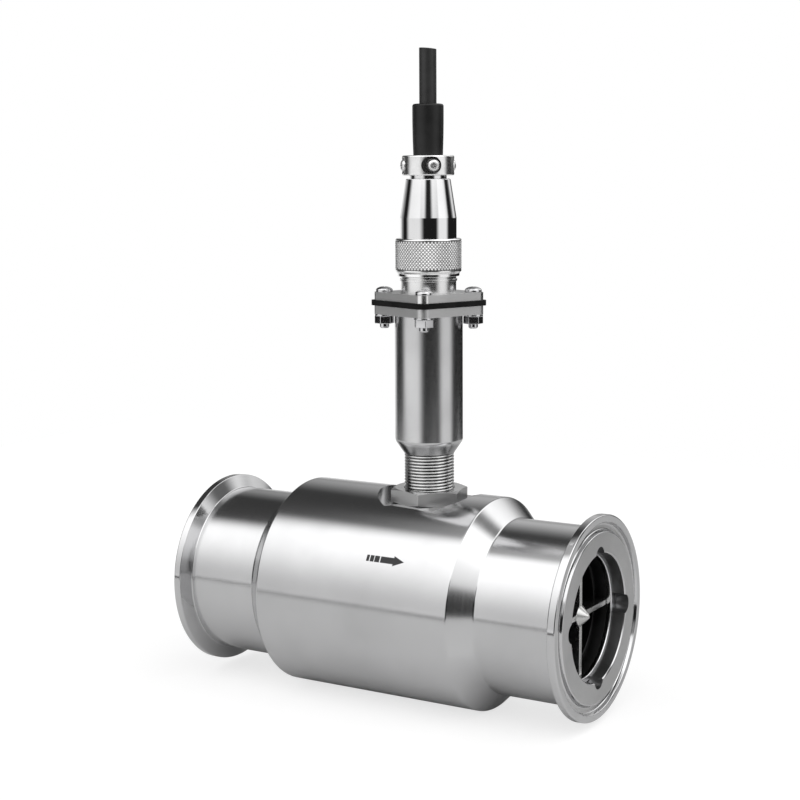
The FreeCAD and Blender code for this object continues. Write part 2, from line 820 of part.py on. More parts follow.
receptacle_shell = turned_with_flange(start_body("receptacle_shell"), gasket_top)
square(receptacle_shell, flange_width, "PlateThickness", "FlangeCorner", insert_radius)
plate = size("PlateThickness")
shell_rise = plate + "SocketHeight"
ledge_rise = plate + "SocketLedge"
bead_rise = plate + "BeadHeight"
bead_end = bead_rise + "BeadWidth"
socket_radius = size("SocketRadius")
bead_radius = socket_radius + "BeadProud"
turned(receptacle_shell, "V_Axis", [
    (insert_radius, 0),
    (socket_radius, 0),
    (socket_radius, bead_rise),
    (bead_radius, bead_rise),
    (bead_radius, bead_end),
    (socket_radius, bead_end),
    (socket_radius, shell_rise),
    (socket_bore, shell_rise),
    (socket_bore, ledge_rise),
    (insert_radius, ledge_rise),
])

receptacle_insert = on_stem(start_body("receptacle_insert"))
turned(receptacle_insert, "V_Axis", [
    (0, gasket_top),
    (insert_radius, gasket_top),
    (insert_radius, insert_top),
    (0, insert_top),
])
pin_hole = start_sketch(receptacle_insert, "XY_Plane", insert_top)
draw_circle(pin_hole, size("PinCircle"), 0, "PinRadius")
pin_pocket = pushed(receptacle_insert, pin_hole, "Pocket", insert_top - gasket_top)
repeated(receptacle_insert, pin_pocket, "Z_Axis", PINS)

receptacle_pins = on_stem(start_body("receptacle_pins"))
pin_sketch = start_sketch(receptacle_pins, "XY_Plane", pin_base)
draw_circle(pin_sketch, size("PinCircle"), 0, "PinRadius")
pin = pushed(receptacle_pins, pin_sketch, "Pad", insert_top + "PinRise" - pin_base)
repeated(receptacle_pins, pin, "Z_Axis", PINS)


# Four screws, washers and nuts clamp the flange stack

def at_corner(body, corners):
    """A turned form on the axis of the first flange screw."""
    sketch = start_sketch(body, "XZ_Plane", -screw_reach)
    draw_outline(sketch, [(screw_reach + x, y) for x, y in corners])
    low_end = Vector(screw_reach.number, -1, 0)
    high_end = Vector(screw_reach.number, 1, 0)
    middle = sketch.addGeometry(Part.LineSegment(low_end, high_end), True)
    fix(sketch, "DistanceX", middle, 1, screw_reach)
    fix(sketch, "DistanceX", middle, 2, screw_reach)
    fix(sketch, "DistanceY", middle, 1, -1)
    fix(sketch, "DistanceY", middle, 2, 1)
    feature = body.newObject("PartDesign::Revolution", body.Label + "_turned")
    feature.Profile = sketch
    feature.ReferenceAxis = (sketch, ["Axis0"])
    feature.Angle = FULL_TURN
    body.Tip = feature
    return feature


flange_screws = turned_with_flange(start_body("flange_screws"), plate_top)
head = size("ScrewHeadRadius")
head_rise = size("ScrewHeadHeight")
head_wall = head_rise - "ScrewHeadDome"
screw_end = flange_base - "WasherThickness" - "FlangeNutHeight" - "ScrewTail" - plate_top
screw = at_corner(flange_screws, [
    (0, screw_end),
    (size("ScrewRadius"), screw_end),
    (size("ScrewRadius"), 0),
    (head, 0),
    (head, head_wall),
    (head - "ScrewHeadDome", head_rise),
    (0, head_rise),
])
repeated(flange_screws, screw, "Z_Axis", QUARTERS)

flange_washers = turned_with_flange(start_body("flange_washers"), flange_base)
washer_bore = size("ScrewRadius") + "ScrewFit"
washer_drop = -size("WasherThickness")
washer = at_corner(flange_washers, [
    (washer_bore, washer_drop),
    (washer_radius, washer_drop),
    (washer_radius, 0),
    (washer_bore, 0),
])
repeated(flange_washers, washer, "Z_Axis", QUARTERS)

flange_nuts = turned_with_flange(start_body("flange_nuts"), flange_base - "WasherThickness" - "FlangeNutHeight")
nut_sketch = hexagon(start_sketch(flange_nuts, "XY_Plane"), "FlangeNutAcross", screw_reach, screw_reach)
draw_circle(nut_sketch, screw_reach, screw_reach, "ScrewRadius")
flange_nut = pushed(flange_nuts, nut_sketch, "Pad", "FlangeNutHeight")
repeated(flange_nuts, flange_nut, "Z_Axis", QUARTERS)


# The plug: a sleeve with a flange that the coupling nut pulls down on the receptacle

plug_sleeve = on_stem(start_body("plug_sleeve"))
sleeve_base = ledge_top + "SleeveGap"
sleeve_bore = sleeve_radius - "SleeveWall"
sleeve_flange = size("SocketRadius") - "SleeveFlangeInset"
sleeve_flange_top = sleeve_flange_base + "SleeveFlangeHeight"
sleeve_top = shell_base + "SleeveTail"
turned(plug_sleeve, "V_Axis", [
    (sleeve_bore, sleeve_base),
    (sleeve_radius, sleeve_base),
    (sleeve_radius, sleeve_flange_base),
    (sleeve_flange, sleeve_flange_base),
    (sleeve_flange, sleeve_flange_top),
    (sleeve_neck, sleeve_flange_top),
    (sleeve_neck, sleeve_top),
    (sleeve_bore, sleeve_top),
])

plug_insert = on_stem(start_body("plug_insert"))
insert_end = plug_face + "PlugInsertLength"
turned(plug_insert, "V_Axis", [
    (0, plug_face),
    (sleeve_bore, plug_face),
    (sleeve_bore, insert_end),
    (0, insert_end),
])
contact_hole = start_sketch(plug_insert, "XY_Plane", insert_end)
draw_circle(contact_hole, size("PinCircle"), 0, contact_radius)
contact_pocket = pushed(plug_insert, contact_hole, "Pocket", "PlugInsertLength")
repeated(plug_insert, contact_pocket, "Z_Axis", PINS)

plug_sockets = on_stem(start_body("plug_sockets"))
contact_sketch = start_sketch(plug_sockets, "XY_Plane", plug_face)
draw_circle(contact_sketch, size("PinCircle"), 0, contact_radius)
draw_circle(contact_sketch, size("PinCircle"), 0, contact_bore)
contact = pushed(plug_sockets, contact_sketch, "Pad", "PlugInsertLength")
repeated(plug_sockets, contact, "Z_Axis", PINS)


# The coupling nut: a knurled ring whose inner web rides over the sleeve's flange

coupling_nut = on_stem(start_body("coupling_nut"))
thread_bore = size("SocketRadius") + "TurnFit"
web_bore = sleeve_neck + "TurnFit"
tail_bore = shell_radius + "TurnFit"
nut_edge = size("NutEdge")
nut_radius = size("SocketRadius") + "NutWall"
lip_radius = nut_radius - "NutLipInset"
lip_top = nut_base + "NutLipHeight"
turned(coupling_nut, "V_Axis", [
    (thread_bore, nut_base),
    (lip_radius, nut_base),
    (lip_radius, lip_top),
    (nut_radius, lip_top + "NutLipInset"),
    (nut_radius, nut_top - nut_edge),
    (nut_radius - nut_edge, nut_top),
    (tail_bore, nut_top),
    (tail_bore, web_top),
    (web_bore, web_top),
    (web_bore, web_base),
    (thread_bore, web_base),
])


# The backshell: a chromed cone with a threaded neck for the clamp ring

backshell = on_stem(start_body("backshell"))
shell_end = shell_radius - "ShellTaper"
inner_top = shell_end - "ShellWall"
turned(backshell, "V_Axis", [
    (sleeve_neck, shell_base),
    (shell_radius, shell_base),
    (shell_radius, shell_cone),
    (shell_end, shell_top),
    (shell_neck, shell_top),
    (shell_neck, neck_top),
    (boot_radius, neck_top),
    (boot_radius, shell_top - "ShellWall"),
    (inner_top, shell_top - "ShellWall"),
    (sleeve_neck, shell_cone),
])


# The clamp ring and its four radial screws grip the cable boot

clamp_ring = on_stem(start_body("clamp_ring"))
clamp_edge = size("ClampEdge")
turned(clamp_ring, "V_Axis", [
    (shell_neck, clamp_base),
    (clamp_radius - clamp_edge, clamp_base),
    (clamp_radius, clamp_base + clamp_edge),
    (clamp_radius, clamp_top - clamp_edge),
    (clamp_radius - clamp_edge, clamp_top),
    (boot_radius, clamp_top),
    (boot_radius, neck_top),
    (shell_neck, neck_top),
])
pocket_sketch = draw_circle(start_sketch(clamp_ring, "YZ_Plane", clamp_floor), 0, clamp_middle, "ClampPocket")
pocket = pushed(clamp_ring, pocket_sketch, "Pocket", clamp_radius, back=True)
repeated(clamp_ring, pocket, "Z_Axis", QUARTERS)
shank_sketch = start_sketch(clamp_ring, "YZ_Plane")
draw_circle(shank_sketch, 0, clamp_middle, "ClampScrewRadius")
shank_hole = pushed(clamp_ring, shank_sketch, "Pocket", clamp_radius, back=True)
repeated(clamp_ring, shank_hole, "Z_Axis", QUARTERS)

clamp_screws = on_stem(start_body("clamp_screws"))
head_sketch = start_sketch(clamp_screws, "YZ_Plane", clamp_floor)
draw_circle(head_sketch, 0, clamp_middle, "ClampHeadRadius")
clamp_head = pushed(clamp_screws, head_sketch, "Pad", size("ClampPocketDepth") + "ClampHeadProud")
tip_sketch = start_sketch(clamp_screws, "YZ_Plane", boot_radius)
draw_circle(tip_sketch, 0, clamp_middle, "ClampScrewRadius")
clamp_tip = pushed(clamp_screws, tip_sketch, "Pad", clamp_floor - boot_radius)
screw_pattern = repeated(clamp_screws, clamp_head, "Z_Axis", QUARTERS)
screw_pattern.Originals = [clamp_head, clamp_tip]

for piece in (clamp_ring, clamp_screws):
    piece.Placement = Placement(Vector(0, 0, 0), Rotation(Vector(0, 0, 1), -1))
    bind(piece, "Placement.Rotation.Angle", -size("ClampAngle"))
    on_stem(piece)


# The cable: a rubber boot, the jacket and three insulated cores, cut off above the boot

cable_boot = on_stem(start_body("cable_boot"))
boot_edge = size("BootEdge")
boot_belly = boot_radius + "BootSwell"
turned(cable_boot, "V_Axis", [
    (cable_radius, neck_top),
    (boot_radius, neck_top),
    (boot_radius, clamp_top),
    (boot_belly, clamp_top + size("BootLength") / 2),
    (boot_belly, boot_top - boot_edge),
    (boot_belly - boot_edge, boot_top),
    (cable_radius, boot_top),
])

cable_jacket = on_stem(start_body("cable_jacket"))
jacket_base = shell_top - "JacketReach"
turned(cable_jacket, "V_Axis", [
    (jacket_bore, jacket_base),
    (cable_radius, jacket_base),
    (cable_radius, cable_top),
    (jacket_bore, cable_top),
])

cable_cores = on_stem(start_body("cable_cores"))
core_radius = size("CoreRadius")
core_sketch = draw_circle(start_sketch(cable_cores, "XY_Plane", insert_end), core_circle, 0, core_radius)
core = pushed(cable_cores, core_sketch, "Pad", cable_top - insert_end)
repeated(cable_cores, core, "Z_Axis", PINS)

doc.recompute()

faults = [item.Name for item in doc.Objects if "Invalid" in item.State or "Error" in item.State]
faults += [piece.Label for piece in SUBPARTS if piece.Shape.isNull() or not piece.Shape.isValid()]
if faults:
    raise SystemExit("failed: " + ", ".join(faults))

os.makedirs("parts", exist_ok=True)
for piece in SUBPARTS:
    piece.Shape.exportStep(f"parts/{piece.Label}.step")
    print(piece.Label, len(piece.Shape.Solids), round(piece.Shape.Volume, 2))
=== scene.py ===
import math

import bmesh
import bpy
from mathutils import Matrix, Vector


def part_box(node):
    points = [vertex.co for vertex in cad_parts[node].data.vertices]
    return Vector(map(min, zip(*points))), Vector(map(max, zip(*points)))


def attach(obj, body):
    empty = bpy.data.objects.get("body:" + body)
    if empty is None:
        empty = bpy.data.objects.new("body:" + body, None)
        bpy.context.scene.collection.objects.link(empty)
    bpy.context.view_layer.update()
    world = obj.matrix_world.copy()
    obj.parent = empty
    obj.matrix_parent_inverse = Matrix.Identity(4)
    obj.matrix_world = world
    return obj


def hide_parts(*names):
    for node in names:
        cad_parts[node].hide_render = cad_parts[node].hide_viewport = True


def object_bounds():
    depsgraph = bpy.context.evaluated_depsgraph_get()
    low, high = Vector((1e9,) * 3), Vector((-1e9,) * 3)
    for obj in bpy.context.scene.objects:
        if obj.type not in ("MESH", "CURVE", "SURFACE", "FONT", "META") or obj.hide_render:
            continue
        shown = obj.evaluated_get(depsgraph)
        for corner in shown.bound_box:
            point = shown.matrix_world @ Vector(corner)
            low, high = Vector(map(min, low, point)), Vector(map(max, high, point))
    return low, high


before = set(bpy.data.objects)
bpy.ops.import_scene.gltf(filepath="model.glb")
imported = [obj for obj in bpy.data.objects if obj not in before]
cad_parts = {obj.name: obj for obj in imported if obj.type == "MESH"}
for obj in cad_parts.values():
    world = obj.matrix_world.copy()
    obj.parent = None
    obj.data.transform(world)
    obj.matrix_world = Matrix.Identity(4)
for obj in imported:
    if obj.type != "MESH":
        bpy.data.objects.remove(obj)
cad_low, cad_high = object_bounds()


# The viewpoint: a long lens, a little above the meter and in front of its outlet,
# so that the outlet mouth is seen open and the sensor stands upright.
CAMERA_PLACE = (0.337347, -0.445756, 0.135030)
CAMERA_TURN = math.radians(31.030)
CAMERA_TILT = math.radians(90 - 7.903)
CAMERA_ROLL = math.radians(-0.3526)
LENS_LENGTH = 73.191
FILM_WIDTH = 36
NEAR_LIMIT = 0.01

camera = bpy.data.objects.new("camera", bpy.data.cameras.new("camera"))
camera.data.lens = LENS_LENGTH
camera.data.sensor_width = FILM_WIDTH
camera.data.clip_start = NEAR_LIMIT
camera.matrix_world = (
    Matrix.Translation(CAMERA_PLACE)
    @ Matrix.Rotation(CAMERA_TURN, 4, "Z")
    @ Matrix.Rotation(CAMERA_TILT, 4, "X")
    @ Matrix.Rotation(CAMERA_ROLL, 4, "Z")
)
bpy.context.scene.collection.objects.link(camera)
bpy.context.scene.camera = camera
bpy.context.scene.view_settings.view_transform = "Standard"


# The studio: a white room with tall light walls to both sides of the camera and a light ceiling.
# Between them stand dark flags, which draw the crisp dark bands down every polished cylinder.
class Term:
    """The output of a shader node, written in sums as a number would be."""

    def __init__(self, shader, socket):
        self.shader = shader
        self.socket = socket

    def math(self, operation, *others):
        values = dict(enumerate((self,) + others))
        return self.shader.node("ShaderNodeMath", {"operation": operation}, values)

    def __add__(self, other):
        return self.math("ADD", other)

    def __mul__(self, other):
        return self.math("MULTIPLY", other)

    def __sub__(self, other):
        return self.math("SUBTRACT", other)

    def __rsub__(self, other):
        return self * -1 + other

    def step(self, low, high, bottom=0, top=1):
        """A soft step from bottom to top as the value goes from low to high."""
        settings = {"interpolation_type": "SMOOTHSTEP"}
        sockets = dict(enumerate((self, low, high, bottom, top)))
        return self.shader.node("ShaderNodeMapRange", settings, sockets)


class Shader:
    """The node tree of one finish."""

    def __init__(self, tree):
        self.tree = tree
        tree.nodes.clear()

    def node(self, kind, settings=None, sockets=None, output=0):
        made = self.tree.nodes.new(kind)
        for name, value in (settings or {}).items():
            setattr(made, name, value)
        for name, value in (sockets or {}).items():
            if isinstance(value, Term):
                self.tree.links.new(value.socket, made.inputs[name])
            else:
                made.inputs[name].default_value = value
        return Term(self, made.outputs[output]) if made.outputs else None

    def mixed(self, share, first, second):
        """A colour between two colours."""
        return self.node("ShaderNodeMix", {"data_type": "RGBA"}, {0: share, 6: first, 7: second}, 2)

    def split(self, vector):
        """The three parts of a vector."""
        parts = self.node("ShaderNodeSeparateXYZ", None, {0: vector})
        return [Term(self, socket) for socket in parts.socket.node.outputs]

    def place(self):
        """The point on the piece, in metres."""
        return self.node("ShaderNodeTexCoord", output="Object")


def between(value, centre, half_width, blur):
    """1 within half_width degrees of the centre, falling to 0 over the blur on both sides."""
    distance = (value - centre).math("WRAP", 180, -180).math("ABSOLUTE")
    return distance.step(half_width + blur, half_width - blur)


# How bright each part of the room is, where 1 is white.
DARK_WALL = 0.012
DARK_CEILING = 0.055
WALL_LEVEL = 0.8
CEILING_LEVEL = 1.8
RIGHT_WALL_SHARE = 1.1
BACK_LEVEL = 0.92
FAR_LEVEL = 0.3
CORNER_LEVEL = 0.7
TOP_LEVEL = 0.6
SIDE_FLAG_SHARE = 0.86

# Where each part stands: its direction round the meter from X, half its width and its soft edge,
# all in degrees.
LEFT_WALL = (-120, 32.5, 12)
RIGHT_WALL = (1, 22, 9)
BACK_WALL = (134, 22, 12)
FAR_WALL = (160, 16, 9)
CAMERA_FLAG = (-60, 14, 8)
SIDE_FLAG = (46, 17, 8)
HIGH_FLAG = (39, 11, 7)
CEILING = (-38, 126, 14)
BACK_SAG = (80, 28, 7)
FRONT_SAG = (18, 14, 6)
CORNER_SIDES = ((144, 110), (96, 108))

# The heights over which each part fades in or out, in degrees above level, and between which shares.
LIGHT_HEIGHTS = (0, 50)
DARK_HEIGHTS = (10, 45)
LEFT_WALL_FOOT = (-1, -7, 1, 1.35)
CAMERA_FLAG_TOP = (32, 26)
SIDE_FLAG_TOP = (19, 13)
HIGH_FLAG_TOP = (66, 50)
CEILING_EDGE = (10, 18)
BACK_SAG_DEPTH = 11
FRONT_SAG_DEPTH = 5
OVERHEAD_FADE = (66, 82, 1, 0.3)
BACK_WALL_TOP = (12, -4)
FAR_WALL_TOP = (18, 4)
FAR_WALL_FOOT = (-5, -1)
CORNER_TOP = (66, 20)
CORNER_FOOT = (-2, 18)
TOP_LIGHT_EDGE = (56, 66)
TOP_LIGHT_FADE = (82, 68, 0.4, 1)

room = bpy.data.worlds.new("studio")
room.use_nodes = True
bpy.context.scene.world = room
studio = Shader(room.node_tree)
look_x, look_y, look_z = studio.split(studio.node("ShaderNodeTexCoord"))
round_about = look_y.math("ARCTAN2", look_x) * math.degrees(1)
rise = look_z.math("ARCSINE") * math.degrees(1)

level = rise.step(*LIGHT_HEIGHTS, WALL_LEVEL, CEILING_LEVEL)
dark = rise.step(*DARK_HEIGHTS, DARK_WALL, DARK_CEILING)
left_wall = between(round_about, *LEFT_WALL) * rise.step(*LEFT_WALL_FOOT)
right_wall = between(round_about, *RIGHT_WALL) * RIGHT_WALL_SHARE
camera_flag = between(round_about, *CAMERA_FLAG) * rise.step(*CAMERA_FLAG_TOP)
side_flag = between(round_about, *SIDE_FLAG) * rise.step(*SIDE_FLAG_TOP)
high_flag = between(round_about, *HIGH_FLAG) * rise.step(*HIGH_FLAG_TOP)
side_flag = side_flag.math("MAXIMUM", high_flag)
hung_lower = between(round_about, *BACK_SAG) * BACK_SAG_DEPTH
hung_lower = hung_lower + between(round_about, *FRONT_SAG) * FRONT_SAG_DEPTH
ceiling = between(round_about, *CEILING) * (rise + hung_lower).step(*CEILING_EDGE)
ceiling = ceiling * (1 - camera_flag) * (1 - side_flag * SIDE_FLAG_SHARE)
light = left_wall.math("MAXIMUM", right_wall).math("MAXIMUM", ceiling) * rise.step(*OVERHEAD_FADE)
back_wall = between(round_about, *BACK_WALL) * rise.step(*BACK_WALL_TOP)
far_wall = between(round_about, *FAR_WALL) * rise.step(*FAR_WALL_TOP) * rise.step(*FAR_WALL_FOOT)
corner = rise.step(*CORNER_TOP) * rise.step(*CORNER_FOOT)
for side in CORNER_SIDES:
    corner = corner * round_about.step(*side)
top_light = rise.step(*TOP_LIGHT_EDGE) * rise.step(*TOP_LIGHT_FADE) * TOP_LEVEL
glow = (light * level).math("MAXIMUM", top_light)
glow = glow + back_wall * BACK_LEVEL + far_wall * FAR_LEVEL + corner * CORNER_LEVEL
glow = glow.math("MAXIMUM", dark)
for_camera = studio.node("ShaderNodeLightPath", output="Is Camera Ray")
glow = glow + for_camera * (1 - glow)
backdrop = studio.node("ShaderNodeBackground", None, {"Color": glow, "Strength": 1.0})
studio.node("ShaderNodeOutputWorld", None, {"Surface": backdrop})


# The floor: a matt table top that metal sees as pale grey, a little darker behind the meter, and that
# the camera sees as white with a soft shadow. Its front edge, some way off, is the thin dark line that
# runs along the middle of the barrel.
FLOOR_LEVEL = cad_low.z
FLOOR_LOW = Vector((-0.40, -0.272))
FLOOR_HIGH = Vector((0.36, 0.45))
FLOOR_GREY = ((0.70, 0.70, 0.70, 1), (0.73, 0.73, 0.73, 1))
BACK_SHADE = 0.2
BACK_START = -0.01
BACK_END = 0.05
SHADOW_SHARE = 0.33
WHITE_LEVEL = 1.05
EDGE_HEIGHT = 0.0095
EDGE_THICKNESS = 0.004
EDGE_INK = (0.02, 0.02, 0.02, 1)


def start_finish(name):
    """A new material and its empty node tree."""
    finish = bpy.data.materials.new(name)
    finish.use_nodes = True
    return finish, Shader(finish.node_tree)


def stage_slab(name, low, high, finish):
    """A slab of the table, which isn't part of the meter."""
    shape = bmesh.new()
    bmesh.ops.create_cube(shape, size=1)
    low, high = Vector(low), Vector(high)
    bmesh.ops.scale(shape, vec=high - low, verts=shape.verts)
    bmesh.ops.translate(shape, vec=(low + high) / 2, verts=shape.verts)
    mesh = bpy.data.meshes.new(name)
    shape.to_mesh(mesh)
    shape.free()
    mesh.materials.append(finish)
    slab = bpy.data.objects.new(name, mesh)
    bpy.context.scene.collection.objects.link(slab)
    return slab


floor_finish, floor = start_finish("table_top")
place = floor.place()
grain = floor.node("ShaderNodeTexNoise", None, {"Vector": place, "Scale": 9, "Detail": 3})
# Painted shade: metal sees the table a little darker behind the meter, as if in the meter's shade.
behind = floor.split(place)[1].step(BACK_START, BACK_END, 0, BACK_SHADE)
grey = floor.mixed(behind, floor.mixed(grain, *FLOOR_GREY), (0, 0, 0, 1))
matt = floor.node("ShaderNodeBsdfDiffuse", None, {"Color": grey})
shaded = floor.node("ShaderNodeBsdfDiffuse", None, {"Color": (SHADOW_SHARE,) * 3 + (1,)})
lift = WHITE_LEVEL - SHADOW_SHARE
lifted = floor.node("ShaderNodeEmission", None, {"Color": (1, 1, 1, 1), "Strength": lift})
white = floor.node("ShaderNodeAddShader", None, {0: shaded, 1: lifted})
for_camera = floor.node("ShaderNodeLightPath", output="Is Camera Ray")
surface = floor.node("ShaderNodeMixShader", None, {0: for_camera, 1: matt, 2: white})
floor.node("ShaderNodeOutputMaterial", None, {"Surface": surface})
stage_slab("floor", (*FLOOR_LOW, FLOOR_LEVEL - EDGE_THICKNESS), (*FLOOR_HIGH, FLOOR_LEVEL), floor_finish)

edge_finish, edge = start_finish("table_edge")
inked = edge.node("ShaderNodeBsdfDiffuse", None, {"Color": EDGE_INK})
edge.node("ShaderNodeOutputMaterial", None, {"Surface": inked})
table_edge = stage_slab(
    "table_edge",
    (FLOOR_LOW.x, FLOOR_LOW.y - EDGE_THICKNESS, FLOOR_LEVEL),
    (FLOOR_HIGH.x, FLOOR_LOW.y, FLOOR_LEVEL + EDGE_HEIGHT),
    edge_finish,
)
table_edge.visible_camera = False
table_edge.visible_diffuse = False
table_edge.visible_shadow = False


# The flow body: one bar of stainless steel, turned all over and polished outside, bored through.
# Each end is a clamp ferrule with a seal groove in its face and a snap ring groove in its mouth, and a
# flat seat is milled for the sensor.
MM = 0.001
BODY_STEPS = 288
ROUND_STEPS = 3


def span(node, axis):
    """The lowest and highest place of a CAD node along X, Y or Z (0, 1 or 2), in millimetres."""
    low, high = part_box(node)
    return low[axis] / MM, high[axis] / MM


FLOW_LENGTH = span("meter_body", 0)[1]
STEM = (span("pickup_housing", 0)[0] + span("pickup_housing", 0)[1]) / 2
FERRULE_RADIUS = 32
NECK_RADIUS = 27.8
BARREL_RADIUS = span("meter_body", 1)[1]
BARREL_LENGTH = 69.6
SHOULDER_LENGTH = 6.2
BORE_RADIUS = 19
MOUTH_RADIUS = 20
MOUTH_DEPTH = 10.5
MOUTH_CHAMFER = 0.35
RING_PLACE = 4.5
RING_GROOVE = 1.85
RING_GROOVE_RADIUS = 21.3
SEAL_GROOVE_RADIUS = 28.2
SEAL_GROOVE_HALF = 1.5
SEAL_GROOVE_DEPTH = 1.6
RIM_WIDTH = 2.5
RIM_TAPER = 1.9
RIM_CHAMFER = 0.3
SEAT_HEIGHT = span("lock_nut", 2)[0]
SEAT_RADIUS = 16.5
STEM_RADIUS = 8
STEM_HOLE = STEM_RADIUS + 0.06
HOLE_FLOOR = 22
CUTTER_LENGTH = 20
NOTCH_RADIUS = 3.1
NOTCH_CIRCLE = 19.3
NOTCH_DEPTH = RING_PLACE + 0.1
QUARTERS = 4
WELD = 0.0005
STAIN_EDGES = (0.35, 0.75)
STAIN_SHADE = 0.9
STAIN_DULLNESS = 0.06
SCORE_DULLNESS = 0.05
SWELL_FINENESS = 16.0


def rounded_off(shape, parts, size, segments, affect="EDGES", **more):
    """Rounds edges, or the corners of a flat section, to a size in millimetres."""
    return bmesh.ops.bevel(shape, geom=parts, offset=size, offset_type="OFFSET", segments=segments,
                           profile=0.5, affect=affect, material=-1, **more)


def rod(shape, sides, radius, length, place=Matrix()):
    """Adds a rod along Z with its middle at the place, and gives its corners."""
    return bmesh.ops.create_cone(shape, cap_ends=True, segments=sides, radius1=radius, radius2=radius,
                                 depth=length, matrix=place)["verts"]


def turned(outline, axis="Z", steps=192):
    """A form turned about the flow axis (X) or the stem (Z), from its half section in millimetres.

    Each corner of the section is its place along the axis, its radius and how far it is rounded.
    """
    shape = bmesh.new()
    place = {
        "X": lambda along, radius: (along, 0, radius),
        "Z": lambda along, radius: (STEM + radius, 0, along),
    }[axis]
    corners = [shape.verts.new(place(along, radius)) for along, radius, _ in outline]
    for index, corner in enumerate(corners):
        shape.edges.new((corner, corners[(index + 1) % len(corners)]))
    section = set(corners)
    for rounding in sorted({corner[2] for corner in outline if corner[2]}):
        rounded = [vert for vert, corner in zip(corners, outline) if corner[2] == rounding]
        segments = ROUND_STEPS if rounding < 1 else ROUND_STEPS * 2
        made = rounded_off(shape, rounded, rounding, segments, "VERTICES")
        section = {vert for vert in section if vert.is_valid} | set(made["verts"])
    section_edges = {edge for vert in section for edge in vert.link_edges}
    direction = (1, 0, 0) if axis == "X" else (0, 0, 1)
    bmesh.ops.spin(shape, geom=list(section) + list(section_edges), cent=(STEM, 0, 0), axis=direction,
                   angle=math.tau, steps=steps, use_merge=True, use_duplicate=False)
    bmesh.ops.remove_doubles(shape, verts=shape.verts, dist=WELD)
    bmesh.ops.recalc_face_normals(shape, faces=shape.faces)
    return shape


def scratch_object(shape):
    """A shape as an object, for a short time only."""
    mesh = bpy.data.meshes.new("blank")
    shape.to_mesh(mesh)
    shape.free()
    blank = bpy.data.objects.new("blank", mesh)
    bpy.context.scene.collection.objects.link(blank)
    return blank


def cut(shape, tool, keep="DIFFERENCE"):
    """The shape with the tool's form taken out of it, or with only what lies inside that form."""
    blank = scratch_object(shape)
    cutter = scratch_object(tool)
    milling = blank.modifiers.new("milling", "BOOLEAN")
    milling.operation = keep
    milling.solver = "EXACT"
    milling.use_self = True
    milling.object = cutter
    result = bmesh.new()
    result.from_object(blank, bpy.context.evaluated_depsgraph_get())
    for spent in (blank, cutter):
        bpy.data.meshes.remove(spent.data)
    return result


def fitted(name, shape, finishes, body, slot, *nodes, crease=38):
    """The finished piece of a shape in millimetres, riding on its body in place of its CAD nodes."""
    mesh = bpy.data.meshes.new(name)
    bmesh.ops.scale(shape, vec=(MM, MM, MM), verts=shape.verts)
    shape.to_mesh(mesh)
    shape.free()
    mesh.shade_smooth()
    mesh.set_sharp_from_angle(angle=math.radians(crease))
    for finish in finishes:
        mesh.materials.append(finish)
    piece = bpy.data.objects.new(name, mesh)
    bpy.context.scene.collection.objects.link(piece)
    shading = piece.modifiers.new("even_shading", "WEIGHTED_NORMAL")
    shading.keep_sharp = True
    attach(piece, body)
    if nodes:
        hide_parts(*nodes)


def metal(name, colour, roughness, marks, depth, cloud=60, wave=0):
    """A metal with tool marks.

    The marks' fineness along X, Y and Z is per metre, and their depth and the wave's are in metres.
    """
    finish, shader = start_finish(name)
    place = shader.place()
    stain = shader.node("ShaderNodeTexNoise", None, {"Vector": place, "Scale": cloud, "Detail": 4.0})
    across = shader.node("ShaderNodeMapping", None, {"Vector": place, "Scale": marks})
    score = shader.node("ShaderNodeTexNoise", None, {"Vector": across, "Scale": 1.0, "Detail": 3.0})
    dull = tuple(part * STAIN_SHADE for part in colour) + (1,)
    base = shader.mixed(stain.step(*STAIN_EDGES), colour + (1,), dull)
    least_rough = roughness - (STAIN_DULLNESS + SCORE_DULLNESS) / 2
    rough = stain * STAIN_DULLNESS + score * SCORE_DULLNESS + least_rough
    height = score * depth
    if wave:
        swell = shader.node("ShaderNodeTexNoise", None,
                            {"Vector": place, "Scale": SWELL_FINENESS, "Detail": 1.0})
        height = height + swell * wave
    bump = shader.node("ShaderNodeBump", None, {"Height": height, "Distance": 1.0, "Strength": 1.0})
    return finish, shader, {"Base Color": base, "Metallic": 1.0, "Roughness": rough, "Normal": bump}


def surfaced(finish, shader, sockets):
    """The finish, with its sockets joined to its surface."""
    surface = shader.node("ShaderNodeBsdfPrincipled", None, sockets)
    shader.node("ShaderNodeOutputMaterial", None, {"Surface": surface})
    return finish


